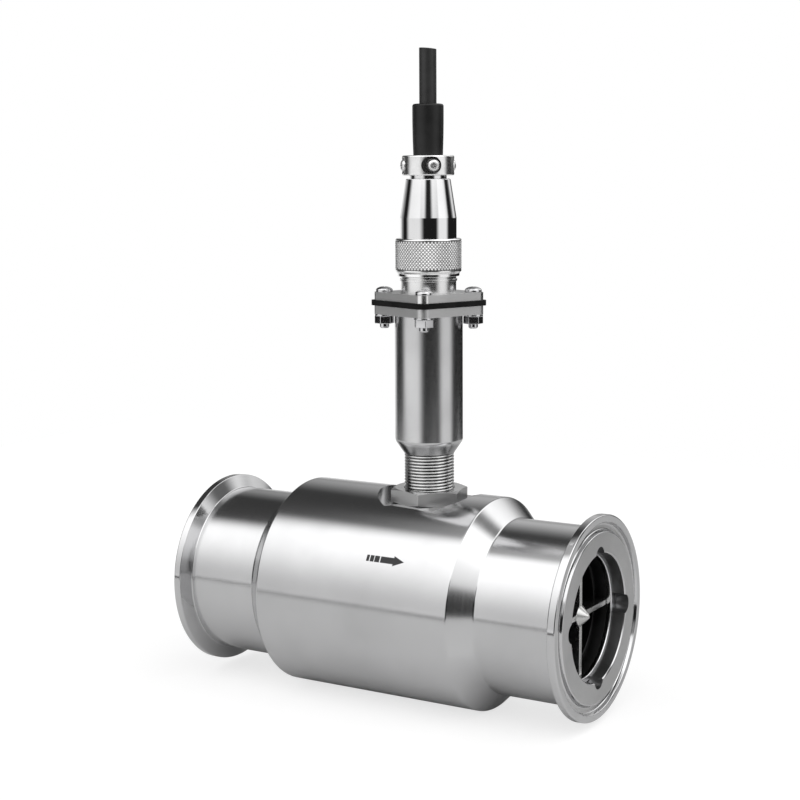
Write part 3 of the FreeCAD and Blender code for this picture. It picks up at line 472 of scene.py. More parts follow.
def ferrule_end(face, inwards):
    """Half section of one end, from the bore to the foot of its neck, drawn by its depths from the face."""
    groove_low = SEAL_GROOVE_RADIUS - SEAL_GROOVE_HALF
    groove_high = SEAL_GROOVE_RADIUS + SEAL_GROOVE_HALF
    section = [
        (MOUTH_DEPTH, BORE_RADIUS, 0.15),
        (MOUTH_DEPTH, MOUTH_RADIUS, 0),
        (RING_PLACE + RING_GROOVE, MOUTH_RADIUS, 0.1),
        (RING_PLACE + RING_GROOVE, RING_GROOVE_RADIUS, 0),
        (RING_PLACE, RING_GROOVE_RADIUS, 0),
        (RING_PLACE, MOUTH_RADIUS, 0.1),
        (MOUTH_CHAMFER, MOUTH_RADIUS, 0.12),
        (0, MOUTH_RADIUS + MOUTH_CHAMFER, 0.12),
        (0, groove_low, 0.25),
        (SEAL_GROOVE_DEPTH, groove_low + 0.5, 0.5),
        (SEAL_GROOVE_DEPTH, groove_high - 0.5, 0.5),
        (0, groove_high, 0.25),
        (0, FERRULE_RADIUS - RIM_CHAMFER, 0.15),
        (RIM_CHAMFER, FERRULE_RADIUS, 0.15),
        (RIM_WIDTH, FERRULE_RADIUS, 0.2),
        (RIM_WIDTH + RIM_TAPER, NECK_RADIUS, 0.25),
    ]
    return [(face + inwards * depth, radius, rounding) for depth, radius, rounding in section]


barrel_near = (FLOW_LENGTH - BARREL_LENGTH) / 2
barrel_far = (FLOW_LENGTH + BARREL_LENGTH) / 2
body_shape = turned(
    ferrule_end(0, 1)
    + [
        (barrel_near - SHOULDER_LENGTH, NECK_RADIUS, 0.4),
        (barrel_near, BARREL_RADIUS, 0.4),
        (barrel_far, BARREL_RADIUS, 0.4),
        (barrel_far + SHOULDER_LENGTH, NECK_RADIUS, 0.4),
    ]
    + ferrule_end(FLOW_LENGTH, -1)[::-1],
    "X", BODY_STEPS,
)
milled = turned([
    (HOLE_FLOOR, 0, 0),
    (HOLE_FLOOR, STEM_HOLE, 0),
    (SEAT_HEIGHT, STEM_HOLE, 0),
    (SEAT_HEIGHT, SEAT_RADIUS, 0),
    (SEAT_HEIGHT + CUTTER_LENGTH, SEAT_RADIUS, 0),
    (SEAT_HEIGHT + CUTTER_LENGTH, 0, 0),
])
for mouth in (0, FLOW_LENGTH):
    for quarter in range(QUARTERS):
        round_x = Matrix.Rotation(math.tau * quarter / QUARTERS, 4, "X")
        place = Matrix.Translation((mouth, 0, 0)) @ round_x @ Matrix.Translation((0, 0, NOTCH_CIRCLE))
        rod(milled, 48, NOTCH_RADIUS, 2 * NOTCH_DEPTH, place @ Matrix.Rotation(math.pi / 2, 4, "Y"))
body_shape = cut(body_shape, milled)

# The bore and the seal faces are left as the tool cut them; everything else is polished.
BORED_REACH = RING_GROOVE_RADIUS + 1.2
BORED_DEPTH = 0.4
SQUARE_ON = 0.99
BORE_SHADE = 0.8
for face in body_shape.faces:
    middle = face.calc_center_median()
    off_axis = math.hypot(middle.y, middle.z)
    inside = BORED_DEPTH < middle.x < FLOW_LENGTH - BORED_DEPTH and middle.z < HOLE_FLOOR
    if off_axis < BORED_REACH and inside:
        face.material_index = 1
    elif abs(face.normal.x) > SQUARE_ON and off_axis < SEAL_GROOVE_RADIUS:
        face.material_index = 2

# The flow arrow is printed in dark grey on the front of the barrel: three short bars and the arrow.
ARROW_RISE = 18.3
ARROW_HALF = 1.02
ARROW_HEAD_HALF = 1.65
ARROW_HEAD = 84.0
ARROW_TIP = 87.8
ARROW_BARS = ((74.85, 0.5), (76.35, 0.68), (78.15, 0.88), (81.75, 2.35))
ARROW_BLUR = 0.08
ARROW_INK = (0.02, 0.02, 0.021, 1)
INK_DULLNESS = 0.4
FRONT_HALF = (0.020, 0.021)
RIM_POLISH = 0.07
RIM_POLISH_DEPTH = (5, 4.2)

polished, shader, sockets = metal("polished_stainless", (0.62, 0.62, 0.625), 0.165, (2600, 40, 40), 4e-6,
                                  cloud=34, wave=1e-4)
x, y, z = shader.split(shader.place())
along = x * (1 / MM)
around = z.math("ARCTAN2", y * -1) * BARREL_RADIUS - ARROW_RISE
aside = around.math("ABSOLUTE")
ink = 0
for middle, half in ARROW_BARS:
    ink = (along - middle).math("ABSOLUTE").step(half + ARROW_BLUR, half - ARROW_BLUR) + ink
ink = ink.math("MINIMUM", 1) * aside.step(ARROW_HALF + ARROW_BLUR, ARROW_HALF - ARROW_BLUR)
slant = ARROW_HEAD_HALF / (ARROW_TIP - ARROW_HEAD)
head = aside + (along - ARROW_HEAD) * slant
head = head.step(ARROW_HEAD_HALF + ARROW_BLUR, ARROW_HEAD_HALF - ARROW_BLUR)
ink = ink.math("MAXIMUM", head * along.step(ARROW_HEAD - ARROW_BLUR, ARROW_HEAD + ARROW_BLUR))
ink = ink * (y * -1).step(*FRONT_HALF)
sockets["Base Color"] = shader.mixed(ink, sockets["Base Color"], ARROW_INK)
sockets["Metallic"] = 1 - ink
depth = FLOW_LENGTH / 2 - (along - FLOW_LENGTH / 2).math("ABSOLUTE")
lapped = depth.step(*RIM_POLISH_DEPTH) * RIM_POLISH
sockets["Roughness"] = sockets["Roughness"] + ink * INK_DULLNESS - lapped
polished = surfaced(polished, shader, sockets)
faced = surfaced(*metal("faced_stainless", (0.55, 0.55, 0.55), 0.32, (400, 400, 400), 6e-6))


def darker_inside(shader, sockets, share, near, far):
    """Takes the colour down from the mouth inwards, where hardly any light reaches the bore."""
    x = shader.split(shader.place())[0]
    depth = FLOW_LENGTH * MM / 2 - (x - FLOW_LENGTH * MM / 2).math("ABSOLUTE")
    shade = depth.step(near * MM, far * MM, 0, share)
    sockets["Base Color"] = shader.mixed(shade, sockets["Base Color"], (0.01, 0.01, 0.01, 1))


# The bore's steel is given a dark colour, and darker_inside paints it darker still inwards from the ring
# groove: both are painted shade, as little light reaches the bore.
bored, shader, sockets = metal("bored_stainless", (0.25, 0.25, 0.255), 0.36, (3000, 60, 60), 4e-6)
darker_inside(shader, sockets, BORE_SHADE, RING_PLACE, MOUTH_DEPTH)
bored = surfaced(bored, shader, sockets)
fitted("flow_body", body_shape, [polished, bored, faced], "meter", "polished_stainless", "meter_body")


# Snap rings: a split ring of bright spring steel, sprung into the groove of each mouth. It holds the
# straightener against its shoulder, and the notches leave room to lift it out.
RING_INNER = 19.2
RING_OUTER = 21.18
RING_THICKNESS = 1.75
RING_ROUND = 0.4
RING_GAP = 6
RING_TURN = math.radians(135)

ring_steel = surfaced(*metal("ring_steel", (0.80, 0.80, 0.81), 0.16, (40, 900, 900), 2e-6))
half_gap = math.asin(RING_GAP / 2 / RING_INNER)
for end, start in (("inlet", RING_PLACE), ("outlet", FLOW_LENGTH - RING_PLACE - RING_THICKNESS)):
    shape = bmesh.new()
    corners = [shape.verts.new((start + along, 0, radius)) for along, radius in (
        (0, RING_INNER), (RING_THICKNESS, RING_INNER), (RING_THICKNESS, RING_OUTER), (0, RING_OUTER))]
    section = shape.faces.new(corners)
    rounded_off(shape, list(section.verts), RING_ROUND, 4, "VERTICES")
    to_gap = Matrix.Rotation(RING_TURN + half_gap, 3, "X")
    bmesh.ops.rotate(shape, cent=(0, 0, 0), matrix=to_gap, verts=shape.verts)
    bmesh.ops.spin(shape, geom=list(shape.faces), cent=(0, 0, 0), axis=(1, 0, 0),
                   angle=math.tau - 2 * half_gap, steps=160)
    bmesh.ops.recalc_face_normals(shape, faces=shape.faces)
    fitted(end + "_ring", shape, [ring_steel], "meter", "ring_steel", end + "_snap_ring")


# Straighteners: cast stainless crosses with a cone nose, which take the swirl out of the flow
# and carry the rotor's bearings in a boss.
SHARP_ANGLE = math.radians(28)
FLAT_ANGLE = math.radians(1)
SOLID_WELD = 0.002
VANE_SHADE = 0.75
VANE_SHADE_DEPTHS = (MOUTH_DEPTH - 4, MOUTH_DEPTH + 3)


def eased_copy(node, edge, segments=2):
    """A CAD solid's own shape in millimetres, with its triangles joined into faces and its edges broken."""
    shape = bmesh.new()
    shape.from_mesh(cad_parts[node].data)
    bmesh.ops.scale(shape, vec=(1 / MM, 1 / MM, 1 / MM), verts=shape.verts)
    bmesh.ops.remove_doubles(shape, verts=shape.verts, dist=SOLID_WELD)
    bmesh.ops.dissolve_limit(shape, angle_limit=FLAT_ANGLE, verts=shape.verts, edges=shape.edges)
    sharp = [line for line in shape.edges if line.is_manifold and line.calc_face_angle() > SHARP_ANGLE]
    rounded_off(shape, sharp, edge, segments, clamp_overlap=True)
    return shape


cast_steel, shader, sockets = metal("cast_straightener", (0.60, 0.60, 0.59), 0.27, (400, 400, 400), 2e-5)
# Painted shade: the vanes are coloured darker further into the mouth.
darker_inside(shader, sockets, VANE_SHADE, *VANE_SHADE_DEPTHS)
cast_steel = surfaced(cast_steel, shader, sockets)
for end in ("inlet", "outlet"):
    fitted(end + "_vanes", eased_copy(end + "_straightener", 0.3), [cast_steel], "meter",
           "cast_straightener", end + "_straightener")


# Bearings: bushes and thrust discs of ground carbide, pressed into the bosses of the straighteners.
# The bushes carry the rotor's shaft, and the discs take its push along the flow.
carbide = surfaced(*metal("bearing_carbide", (0.22, 0.22, 0.23), 0.25, (3000, 200, 200), 1e-6))
for end in ("inlet", "outlet"):
    for part in ("_bearing", "_thrust_disc"):
        fitted(end + part + "_ground", eased_copy(end + part, 0.1), [carbide], "meter",
               "bearing_carbide", end + part)


# The rotor: a hub of magnetic steel with six helical blades, milled from one piece and pressed on a
# ground shaft. It spins freely in the flow, and the pickup counts its blades.
rotor_steel = surfaced(*metal("rotor_steel", (0.50, 0.50, 0.51), 0.26, (900, 900, 900), 4e-6))
fitted("bladed_rotor", eased_copy("rotor", 0.12, 1), [rotor_steel], "rotor", "rotor_steel", "rotor")
fitted("ground_shaft", eased_copy("rotor_shaft", 0.2), [carbide], "rotor", "rotor_steel", "rotor_shaft")


# The pickup housing: a satin stainless tube that closes by a cone onto a threaded stem, all turned from
# one bar. The thread is cut to a pitch of 1 mm, and its roots are painted darker, as painted shade.
STEM_BASE = span("pickup_housing", 2)[0]
TUBE_TOP = span("pickup_housing", 2)[1]
TUBE_RADIUS = 10.8
TUBE_BORE = 9.3
NUT_TOP = span("lock_nut", 2)[1]
CONE_BASE = 47.1
CONE_TOP = 50.8
CONE_FOOT = CONE_BASE - 0.3
CONE_FOOT_RADIUS = STEM_RADIUS + 0.1
STEM_BORE = 6.2
STEM_CHAMFER = 1
HOUSING_WALL = 1.5
TIP_WALL = 1.2
THREAD_PITCH = 1.0
THREAD_ROOT = 7.4
THREAD_CREST = STEM_RADIUS - 0.02
CORE_RADIUS = 7.3
THREAD_HIDDEN = 1.5
THREAD_RUNOUT = 0.6
THREAD_STEPS = 120
CONE_SHADE = 0.55
CONE_SHADE_FADE = 1.5
CONE_SHADE_COLOUR = (0.06, 0.06, 0.06, 1)
ROOT_SHADE_RADII = (STEM_RADIUS - 0.24, STEM_RADIUS - 0.5)
ROOT_SHADE_COLOUR = (0.19, 0.188, 0.185, 1)

satin, shader, sockets = metal("satin_stainless", (0.62, 0.62, 0.625), 0.23, (700, 700, 60), 1.2e-6)
z = shader.split(shader.place())[2]
# Painted shade: the cone under the tube, and all below it, is coloured darker.
shaded_cone = z.step(CONE_TOP * MM, (CONE_TOP - CONE_SHADE_FADE) * MM, 0, CONE_SHADE)
sockets["Base Color"] = shader.mixed(shaded_cone, sockets["Base Color"], CONE_SHADE_COLOUR)
satin = surfaced(satin, shader, sockets)
thread_start = NUT_TOP - THREAD_HIDDEN
thread_turns = round((CONE_BASE - thread_start) / THREAD_PITCH) + 1
housing = turned([
    (STEM_BASE, 0, 0),
    (STEM_BASE, STEM_RADIUS - STEM_CHAMFER, 0.2),
    (STEM_BASE + STEM_CHAMFER, STEM_RADIUS, 0.2),
    (thread_start, STEM_RADIUS, 0),
    (thread_start + THREAD_RUNOUT, CORE_RADIUS, 0),
    (CONE_FOOT, CORE_RADIUS, 0),
    (CONE_FOOT, CONE_FOOT_RADIUS, 0.15),
    (CONE_TOP, TUBE_RADIUS, 0.6),
    (TUBE_TOP, TUBE_RADIUS, 0.3),
    (TUBE_TOP, TUBE_BORE, 0.2),
    (CONE_TOP + HOUSING_WALL, TUBE_BORE, 0.3),
    (CONE_BASE + HOUSING_WALL, STEM_BORE, 0.3),
    (STEM_BASE + TIP_WALL, STEM_BORE, 0.2),
    (STEM_BASE + TIP_WALL, 0, 0),
], steps=256)
fitted("housing_tube", housing, [satin], "meter", "satin_stainless", "pickup_housing")


def from_stem(shader):
    """A point's place from the stem's axis, along X and Y, and its height."""
    x, y, z = shader.split(shader.place())
    return x - STEM * MM, y, z


def reach(x, y):
    """The distance that two ways across make."""
    return (x * x + y * y).math("SQRT")


thread = bmesh.new()
tooth = [
    (0, THREAD_ROOT),
    (0.1, THREAD_ROOT),
    (0.34, THREAD_CREST - 0.06),
    (0.42, THREAD_CREST),
    (0.58, THREAD_CREST),
    (0.66, THREAD_CREST - 0.06),
    (0.9, THREAD_ROOT),
    (THREAD_PITCH, THREAD_ROOT),
]
flank = []
for along, radius in tooth:
    flank.append(thread.verts.new((STEM + radius, 0, thread_start - THREAD_PITCH + along)))
for index in range(len(flank) - 1):
    thread.edges.new((flank[index], flank[index + 1]))
bmesh.ops.spin(thread, geom=list(thread.verts) + list(thread.edges), cent=(STEM, 0, 0), axis=(0, 0, 1),
               dvec=(0, 0, THREAD_PITCH / THREAD_STEPS), angle=math.tau * thread_turns,
               steps=THREAD_STEPS * thread_turns)
bmesh.ops.remove_doubles(thread, verts=thread.verts, dist=SOLID_WELD)
bmesh.ops.holes_fill(thread, edges=thread.edges, sides=0)
bmesh.ops.recalc_face_normals(thread, faces=thread.faces)
thread_steel, shader, sockets = metal("thread_stainless", (0.80, 0.80, 0.80), 0.14, (300, 300, 2500), 2e-6)
# Painted shade: the thread's roots are coloured darker than its crests.
root_shade = reach(*from_stem(shader)[:2]).step(*(radius * MM for radius in ROOT_SHADE_RADII))
sockets["Base Color"] = shader.mixed(root_shade, sockets["Base Color"], ROOT_SHADE_COLOUR)
thread_steel = surfaced(thread_steel, shader, sockets)
fitted("stem_thread", thread, [thread_steel], "meter", "satin_stainless")


# The lock nut: a thin stainless hexagon, tightened on the milled seat. It is cut from rolled bar, which
# leaves its flats dull, and its faces and their chamfers are turned bright.
NUT_ACROSS_FLATS = 22
NUT_CORNER_ROUND = 0.22
NUT_FACE_RADIUS = 11
NUT_CHAMFER = 1.0
NUT_CHAMFER_REACH = 13.7
NUT_SKIN = 0.01
UPRIGHT = 0.2

# The solid's outermost corner tells how far the nut is turned.
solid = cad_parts["lock_nut"].data
outermost = max(solid.vertices, key=lambda vert: math.hypot(vert.co.x - STEM * MM, vert.co.y)).co
nut_turn = math.atan2(outermost.y, outermost.x - STEM * MM)
hexagon = bmesh.new()
rod(hexagon, 6, NUT_ACROSS_FLATS / math.sqrt(3), NUT_TOP - SEAT_HEIGHT)
upright = [line for line in hexagon.edges if abs(line.verts[0].co.z - line.verts[1].co.z) > 1]
rounded_off(hexagon, upright, NUT_CORNER_ROUND, 3)
# The primitive's first corner stands on Y.
bmesh.ops.rotate(hexagon, cent=(0, 0, 0), matrix=Matrix.Rotation(nut_turn - math.pi / 2, 3, "Z"),
                 verts=hexagon.verts)
bmesh.ops.translate(hexagon, vec=(STEM, 0, (NUT_TOP + SEAT_HEIGHT) / 2), verts=hexagon.verts)
chamfered = turned([
    (SEAT_HEIGHT + NUT_SKIN, STEM_HOLE, 0.25),
    (SEAT_HEIGHT + NUT_SKIN, NUT_FACE_RADIUS, 0),
    (SEAT_HEIGHT + NUT_CHAMFER, NUT_CHAMFER_REACH, 0),
    (NUT_TOP - NUT_CHAMFER, NUT_CHAMFER_REACH, 0),
    (NUT_TOP - NUT_SKIN, NUT_FACE_RADIUS, 0),
    (NUT_TOP - NUT_SKIN, STEM_HOLE, 0.25),
])
chamfered = cut(hexagon, chamfered, "INTERSECT")
for face in chamfered.faces:
    face.material_index = int(abs(face.normal.z) < UPRIGHT)
turned_steel = surfaced(*metal("turned_nut_steel", (0.74, 0.74, 0.74), 0.2, (500, 500, 120), 3e-6))
rolled_steel = surfaced(*metal("nut_steel", (0.56, 0.56, 0.56), 0.38, (900, 900, 120), 6e-6))
fitted("hexagon_nut", chamfered, [turned_steel, rolled_steel], "meter", "nut_steel", "lock_nut", crease=15)


# Inside the housing: the pickup's pole pin and magnet, its winding of enamelled copper on a moulded
# bobbin, and the amplifier board, slid into the tube before the receptacle closes it.
CLOUD_FINENESS = 140.0
CLOUD_EDGES = (0.3, 0.7)
CLOUD_DULLNESS = 0.12
PORE_FINENESS = 900.0


def carried_over(node, finish):
    """A CAD solid that keeps its own shape, with its finish."""
    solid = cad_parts[node]
    solid.data.materials.clear()
    solid.data.materials.append(finish)


def moulded(name, colour, roughness, speck, depth, shine=0.5):
    """A plastic or a rubber, speckled as it comes from its mould."""
    finish, shader = start_finish(name)
    place = shader.place()
    cloud = shader.node("ShaderNodeTexNoise", None, {"Vector": place, "Scale": CLOUD_FINENESS, "Detail": 5.0})
    pore = shader.node("ShaderNodeTexNoise", None, {"Vector": place, "Scale": PORE_FINENESS, "Detail": 3.0})
    lighter = tuple(min(1, part * (1 + speck) + speck * 0.01) for part in colour) + (1,)
    base = shader.mixed(cloud.step(*CLOUD_EDGES), colour + (1,), lighter)
    bump = shader.node("ShaderNodeBump", None, {"Height": pore * depth, "Distance": 1.0, "Strength": 1.0})
    return surfaced(finish, shader, {
        "Base Color": base, "Roughness": cloud * CLOUD_DULLNESS + (roughness - CLOUD_DULLNESS / 2),
        "Normal": bump, "Specular IOR Level": shine})


magnet_alloy = surfaced(*metal("magnet_alloy", (0.45, 0.44, 0.43), 0.4, (500, 500, 500), 2e-5))
bobbin_plastic = moulded("bobbin_plastic", (0.55, 0.50, 0.38), 0.45, 0.1, 1e-5)
coil_copper = surfaced(*metal("coil_copper", (0.75, 0.33, 0.17), 0.3, (60, 60, 5000), 3e-5))
board_laminate = moulded("board_laminate", (0.03, 0.16, 0.07), 0.4, 0.3, 1e-5)
component_black = moulded("component_black", (0.02, 0.02, 0.022), 0.5, 0.3, 1e-5)
carried_over("pole_pin", ring_steel)
carried_over("pickup_magnet", magnet_alloy)
carried_over("coil_bobbin", bobbin_plastic)
carried_over("coil_winding", coil_copper)
carried_over("amplifier_board", board_laminate)
carried_over("board_components", component_black)


# The flange stack: the housing's square flange, a black rubber gasket that stands a little proud,
# and the receptacle, a chromed casting whose square flange carries the round connector barrel.
PLATE_TOP = 98.1
PLATE_SKIN = 0.05
FLANGE_TURN = math.radians(-21)
CORNER_SLANT = 0.15

casting = surfaced(*metal("flange_casting", (0.62, 0.62, 0.62), 0.42, (420, 420, 420), 1.2e-5))
gasket_rubber = moulded("gasket_rubber", (0.003, 0.003, 0.003), 0.6, 0.6, 2.5e-5, shine=0.12)
barrel_chrome = surfaced(*metal("connector_chrome", (0.88, 0.88, 0.88), 0.25, (260, 260, 900), 3e-6))
fitted("lower_flange", eased_copy("housing_flange", 0.25), [casting],
       "meter", "flange_casting", "housing_flange")
fitted("gasket", eased_copy("flange_gasket", 0.5, 3), [gasket_rubber],
       "meter", "gasket_rubber", "flange_gasket")
receptacle = eased_copy("receptacle_shell", 0.22)
for face in receptacle.faces:
    turn = math.atan2(face.normal.y, face.normal.x) - FLANGE_TURN
    rounded_corner = abs(math.sin(2 * turn)) > CORNER_SLANT and abs(face.normal.z) < UPRIGHT
    above_plate = face.calc_center_median().z > PLATE_TOP + PLATE_SKIN
    face.material_index = int(above_plate or rounded_corner)
fitted("receptacle", receptacle, [casting, barrel_chrome], "meter", "connector_chrome", "receptacle_shell")
insert_plastic = moulded("insert_plastic", (0.03, 0.03, 0.032), 0.45, 0.3, 1e-5)
brass = surfaced(*metal("contact_brass", (0.78, 0.58, 0.24), 0.2, (400, 400, 90), 2e-6))
carried_over("receptacle_insert", insert_plastic)
carried_over("receptacle_pins", brass)


# The screws: four pan head screws with cross recesses, each with a washer and a nut under the flange,
# all of bright zinc plated steel. They clamp the flange stack.
SCREW_END = span("flange_screws", 2)[0]
SCREW_RADIUS = 1.5
SCREW_TIP = 0.4
SCREW_TIP_RADIUS = SCREW_RADIUS - 0.3
HEAD_FOOT = PLATE_TOP + 0.01
HEAD_RADIUS = 2.7
HEAD_SIDE = 0.85
HEAD_SHOULDER = 1.6
HEAD_CROWN = 1.7
HEAD_RISE = 1.8
FIRST_CROSS = 0.5
CROSS_STEP = 0.9
RECESS_LENGTH = 2.9
RECESS_WIDTH = 0.62
RECESS_DEPTH = 1.0
RECESS_TAPER = (0.55, 0.7, 1)
SCREW_CORNER = 10

fastener = surfaced(*metal("fastener_steel", (0.66, 0.66, 0.67), 0.16, (700, 700, 700), 3e-6))


def cross_recess(shape, matrix, scale=1):
    """Adds the cross of a driver's tip, point down, at the top of a screw head."""
    for turn in (0, math.pi / 2):
        bar = bmesh.ops.create_cube(shape, size=1)["verts"]
        bmesh.ops.scale(shape, vec=(RECESS_LENGTH, RECESS_WIDTH, 2 * RECESS_DEPTH), verts=bar)
        low = [vert for vert in bar if vert.co.z < 0]
        bmesh.ops.scale(shape, vec=RECESS_TAPER, verts=low)
        bmesh.ops.scale(shape, vec=(scale,) * 3, verts=bar)
        bmesh.ops.rotate(shape, cent=(0, 0, 0), matrix=Matrix.Rotation(turn, 3, "Z"), verts=bar)
        bmesh.ops.transform(shape, matrix=matrix, verts=bar)


screw = turned([
    (SCREW_END, 0, 0),
    (SCREW_END, SCREW_TIP_RADIUS, 0.05),
    (SCREW_END + SCREW_TIP, SCREW_RADIUS, 0.1),
    (HEAD_FOOT, SCREW_RADIUS, 0),
    (HEAD_FOOT, HEAD_RADIUS, 0.12),
    (PLATE_TOP + HEAD_SIDE, HEAD_RADIUS, 0.35),
    (PLATE_TOP + HEAD_SHOULDER, HEAD_CROWN, 0.7),
    (PLATE_TOP + HEAD_RISE, 0, 0),
], steps=48)
recess = bmesh.new()
cross_recess(recess, Matrix.Translation((STEM, 0, PLATE_TOP + HEAD_RISE)))
screw = cut(screw, recess)
one_screw = bpy.data.meshes.new("one_screw")
screw.to_mesh(one_screw)
screw.free()
to_corner = Matrix.Translation((SCREW_CORNER, SCREW_CORNER, 0))
about_stem = Matrix.Translation((STEM, 0, 0))


def screw_place(quarter):
    """Where one of the four screws stands, at a corner of the turned flange."""
    return about_stem @ Matrix.Rotation(FLANGE_TURN + math.tau * quarter / QUARTERS, 4, "Z") @ to_corner


screws = bmesh.new()
for quarter in range(QUARTERS):
    before = set(screws.verts)
    screws.from_mesh(one_screw)
    added = [vert for vert in screws.verts if vert not in before]
    twist = Matrix.Rotation(FIRST_CROSS + CROSS_STEP * quarter, 4, "Z")
    bmesh.ops.transform(screws, matrix=screw_place(quarter) @ twist @ about_stem.inverted(), verts=added)
fitted("pan_head_screws", screws, [fastener], "meter", "fastener_steel", "flange_screws")
fitted("plain_washers", eased_copy("flange_washers", 0.1), [fastener],
       "meter", "fastener_steel", "flange_washers")

# Each nut stands as the spanner left it, turned by so many degrees from square with the flange.
NUT_TWISTS = (22, 24, 28, 30)
NUT_REACH = 5
nuts = eased_copy("flange_nuts", 0.22)
for quarter, twist in enumerate(NUT_TWISTS):
    centre = screw_place(quarter).to_translation()
    own = [vert for vert in nuts.verts if math.dist(vert.co.xy, centre.xy) < NUT_REACH]
    bmesh.ops.rotate(nuts, cent=centre, matrix=Matrix.Rotation(math.radians(twist), 3, "Z"), verts=own)
fitted("small_nuts", nuts, [fastener], "meter", "fastener_steel", "flange_nuts")


# The plug: a chromed sleeve that enters the receptacle, with a moulded insert and three brass sockets
# inside it, which slide over the receptacle's pins.
carried_over("plug_sleeve", barrel_chrome)
carried_over("plug_insert", insert_plastic)
carried_over("plug_sockets", brass)


# The coupling nut: a nickel plated brass ring with a fine diamond knurl between two plain lips, rolled in
# before plating. It turns freely on the plug and screws onto the receptacle.
NUT_BASE = span("coupling_nut", 2)[0]
RING_TOP = span("coupling_nut", 2)[1]
NUT_RADIUS = 10.5
KNURL_DEPTH = 0.18
KNURLS_ROUND = 60
KNURL_ROWS = 8
KNURL_LOW = NUT_BASE + 2.0
KNURL_HIGH = RING_TOP - 0.55
KNURL_MARGIN = 0.05
ROOT_REACH = 0.03
ROOT_MARGIN = 0.01
LIP_RADIUS = NUT_RADIUS - 0.06
LIP_EDGE_RADIUS = NUT_RADIUS - 0.08
LIP_FOOT = NUT_BASE + 1.55
LEAD_RADIUS = NUT_RADIUS - 0.7
LEAD_TOP = NUT_BASE + 0.95
TOP_RADIUS = NUT_RADIUS - 0.4
TOP_CHAMFER = 0.3
THREAD_BORE = 8.83
WEB_BORE = 8.0
WEB_LOW = 109.6
WEB_HIGH = 111.0
TAIL_BORE = 8.98
GROOVE_SHADE_DEPTH = 0.45
GROOVE_SHADE_COLOUR = (0.22, 0.22, 0.22, 1)
LIP_POLISH = 0.25

knurl_root = NUT_RADIUS - KNURL_DEPTH
knurl_rise = (KNURL_HIGH - KNURL_LOW) / KNURL_ROWS
nut = turned([
    (NUT_BASE, THREAD_BORE, 0.15),
    (NUT_BASE, LEAD_RADIUS, 0.2),
    (LEAD_TOP, LEAD_RADIUS, 0.2),
    (LIP_FOOT, LIP_EDGE_RADIUS, 0.15),
    (KNURL_LOW - KNURL_MARGIN, LIP_RADIUS, 0),
] + [(KNURL_LOW + knurl_rise * row, knurl_root, 0) for row in range(KNURL_ROWS + 1)] + [
    (KNURL_HIGH + KNURL_MARGIN, LIP_RADIUS, 0),
    (RING_TOP - TOP_CHAMFER, LIP_EDGE_RADIUS, 0.1),
    (RING_TOP, TOP_RADIUS, 0.1),
    (RING_TOP, TAIL_BORE, 0.1),
    (WEB_HIGH, TAIL_BORE, 0),
    (WEB_HIGH, WEB_BORE, 0.1),
    (WEB_LOW, WEB_BORE, 0.1),
    (WEB_LOW, THREAD_BORE, 0),
], steps=KNURLS_ROUND)


def on_knurl(vert):
    """Whether a corner lies at the root of the knurl's band."""
    at_root = abs(math.hypot(vert.co.x - STEM, vert.co.y) - knurl_root) < ROOT_REACH
    return at_root and KNURL_LOW - ROOT_MARGIN < vert.co.z < KNURL_HIGH + ROOT_MARGIN


def knurl_faces():
    """The four-sided faces of the knurl's band."""
    return [face for face in nut.faces if len(face.verts) == 4 and all(map(on_knurl, face.verts))]


# The band's upright squares become diamonds, by way of a cross in each, and every diamond a small pyramid.
squares = set(knurl_faces())
inner_edges = {line for face in squares for line in face.edges if squares.issuperset(line.link_faces)}
bmesh.ops.poke(nut, faces=list(squares))
bmesh.ops.dissolve_edges(nut, edges=list(inner_edges), use_verts=False)
bmesh.ops.poke(nut, faces=knurl_faces(), offset=KNURL_DEPTH)
bmesh.ops.recalc_face_normals(nut, faces=nut.faces)
plated, shader, sockets = metal("knurled_nickel", (0.97, 0.97, 0.97), 0.38, (500, 500, 500), 1.5e-6)
x, y, z = from_stem(shader)
from_middle = (z - (KNURL_LOW + KNURL_HIGH) / 2 * MM).math("ABSOLUTE")
knurled = from_middle.math("LESS_THAN", (KNURL_HIGH - KNURL_LOW) / 2 * MM)
# Painted shade: the colour darkens towards the roots of the knurl's grooves.
groove_shade = knurled * reach(x, y).step((knurl_root + KNURL_DEPTH * GROOVE_SHADE_DEPTH) * MM, knurl_root * MM)
sockets["Base Color"] = shader.mixed(groove_shade, sockets["Base Color"], GROOVE_SHADE_COLOUR)
sockets["Roughness"] = sockets["Roughness"] - (1 - knurled) * LIP_POLISH
plated = surfaced(plated, shader, sockets)
fitted("knurled_ring", nut, [plated], "coupling_nut", "knurled_nickel", "coupling_nut", crease=25)


# The backshell: a shell turned in brass and plated in mirror chrome, straight below and coned above.
# It is screwed on the sleeve, and the clamp ring sits on its neck.
SHELL_BASE = span("backshell", 2)[0]
NECK_TOP = span("backshell", 2)[1]
SHELL_RADIUS = span("backshell", 1)[1]
SHELL_BORE = 7.9
SHELL_WALL = 1
SHELL_CONE = 121.4
SHELL_TOP = 133.6
SHELL_END = 7.0
NECK_OUTER = 5.8
NECK_BORE = 4.65

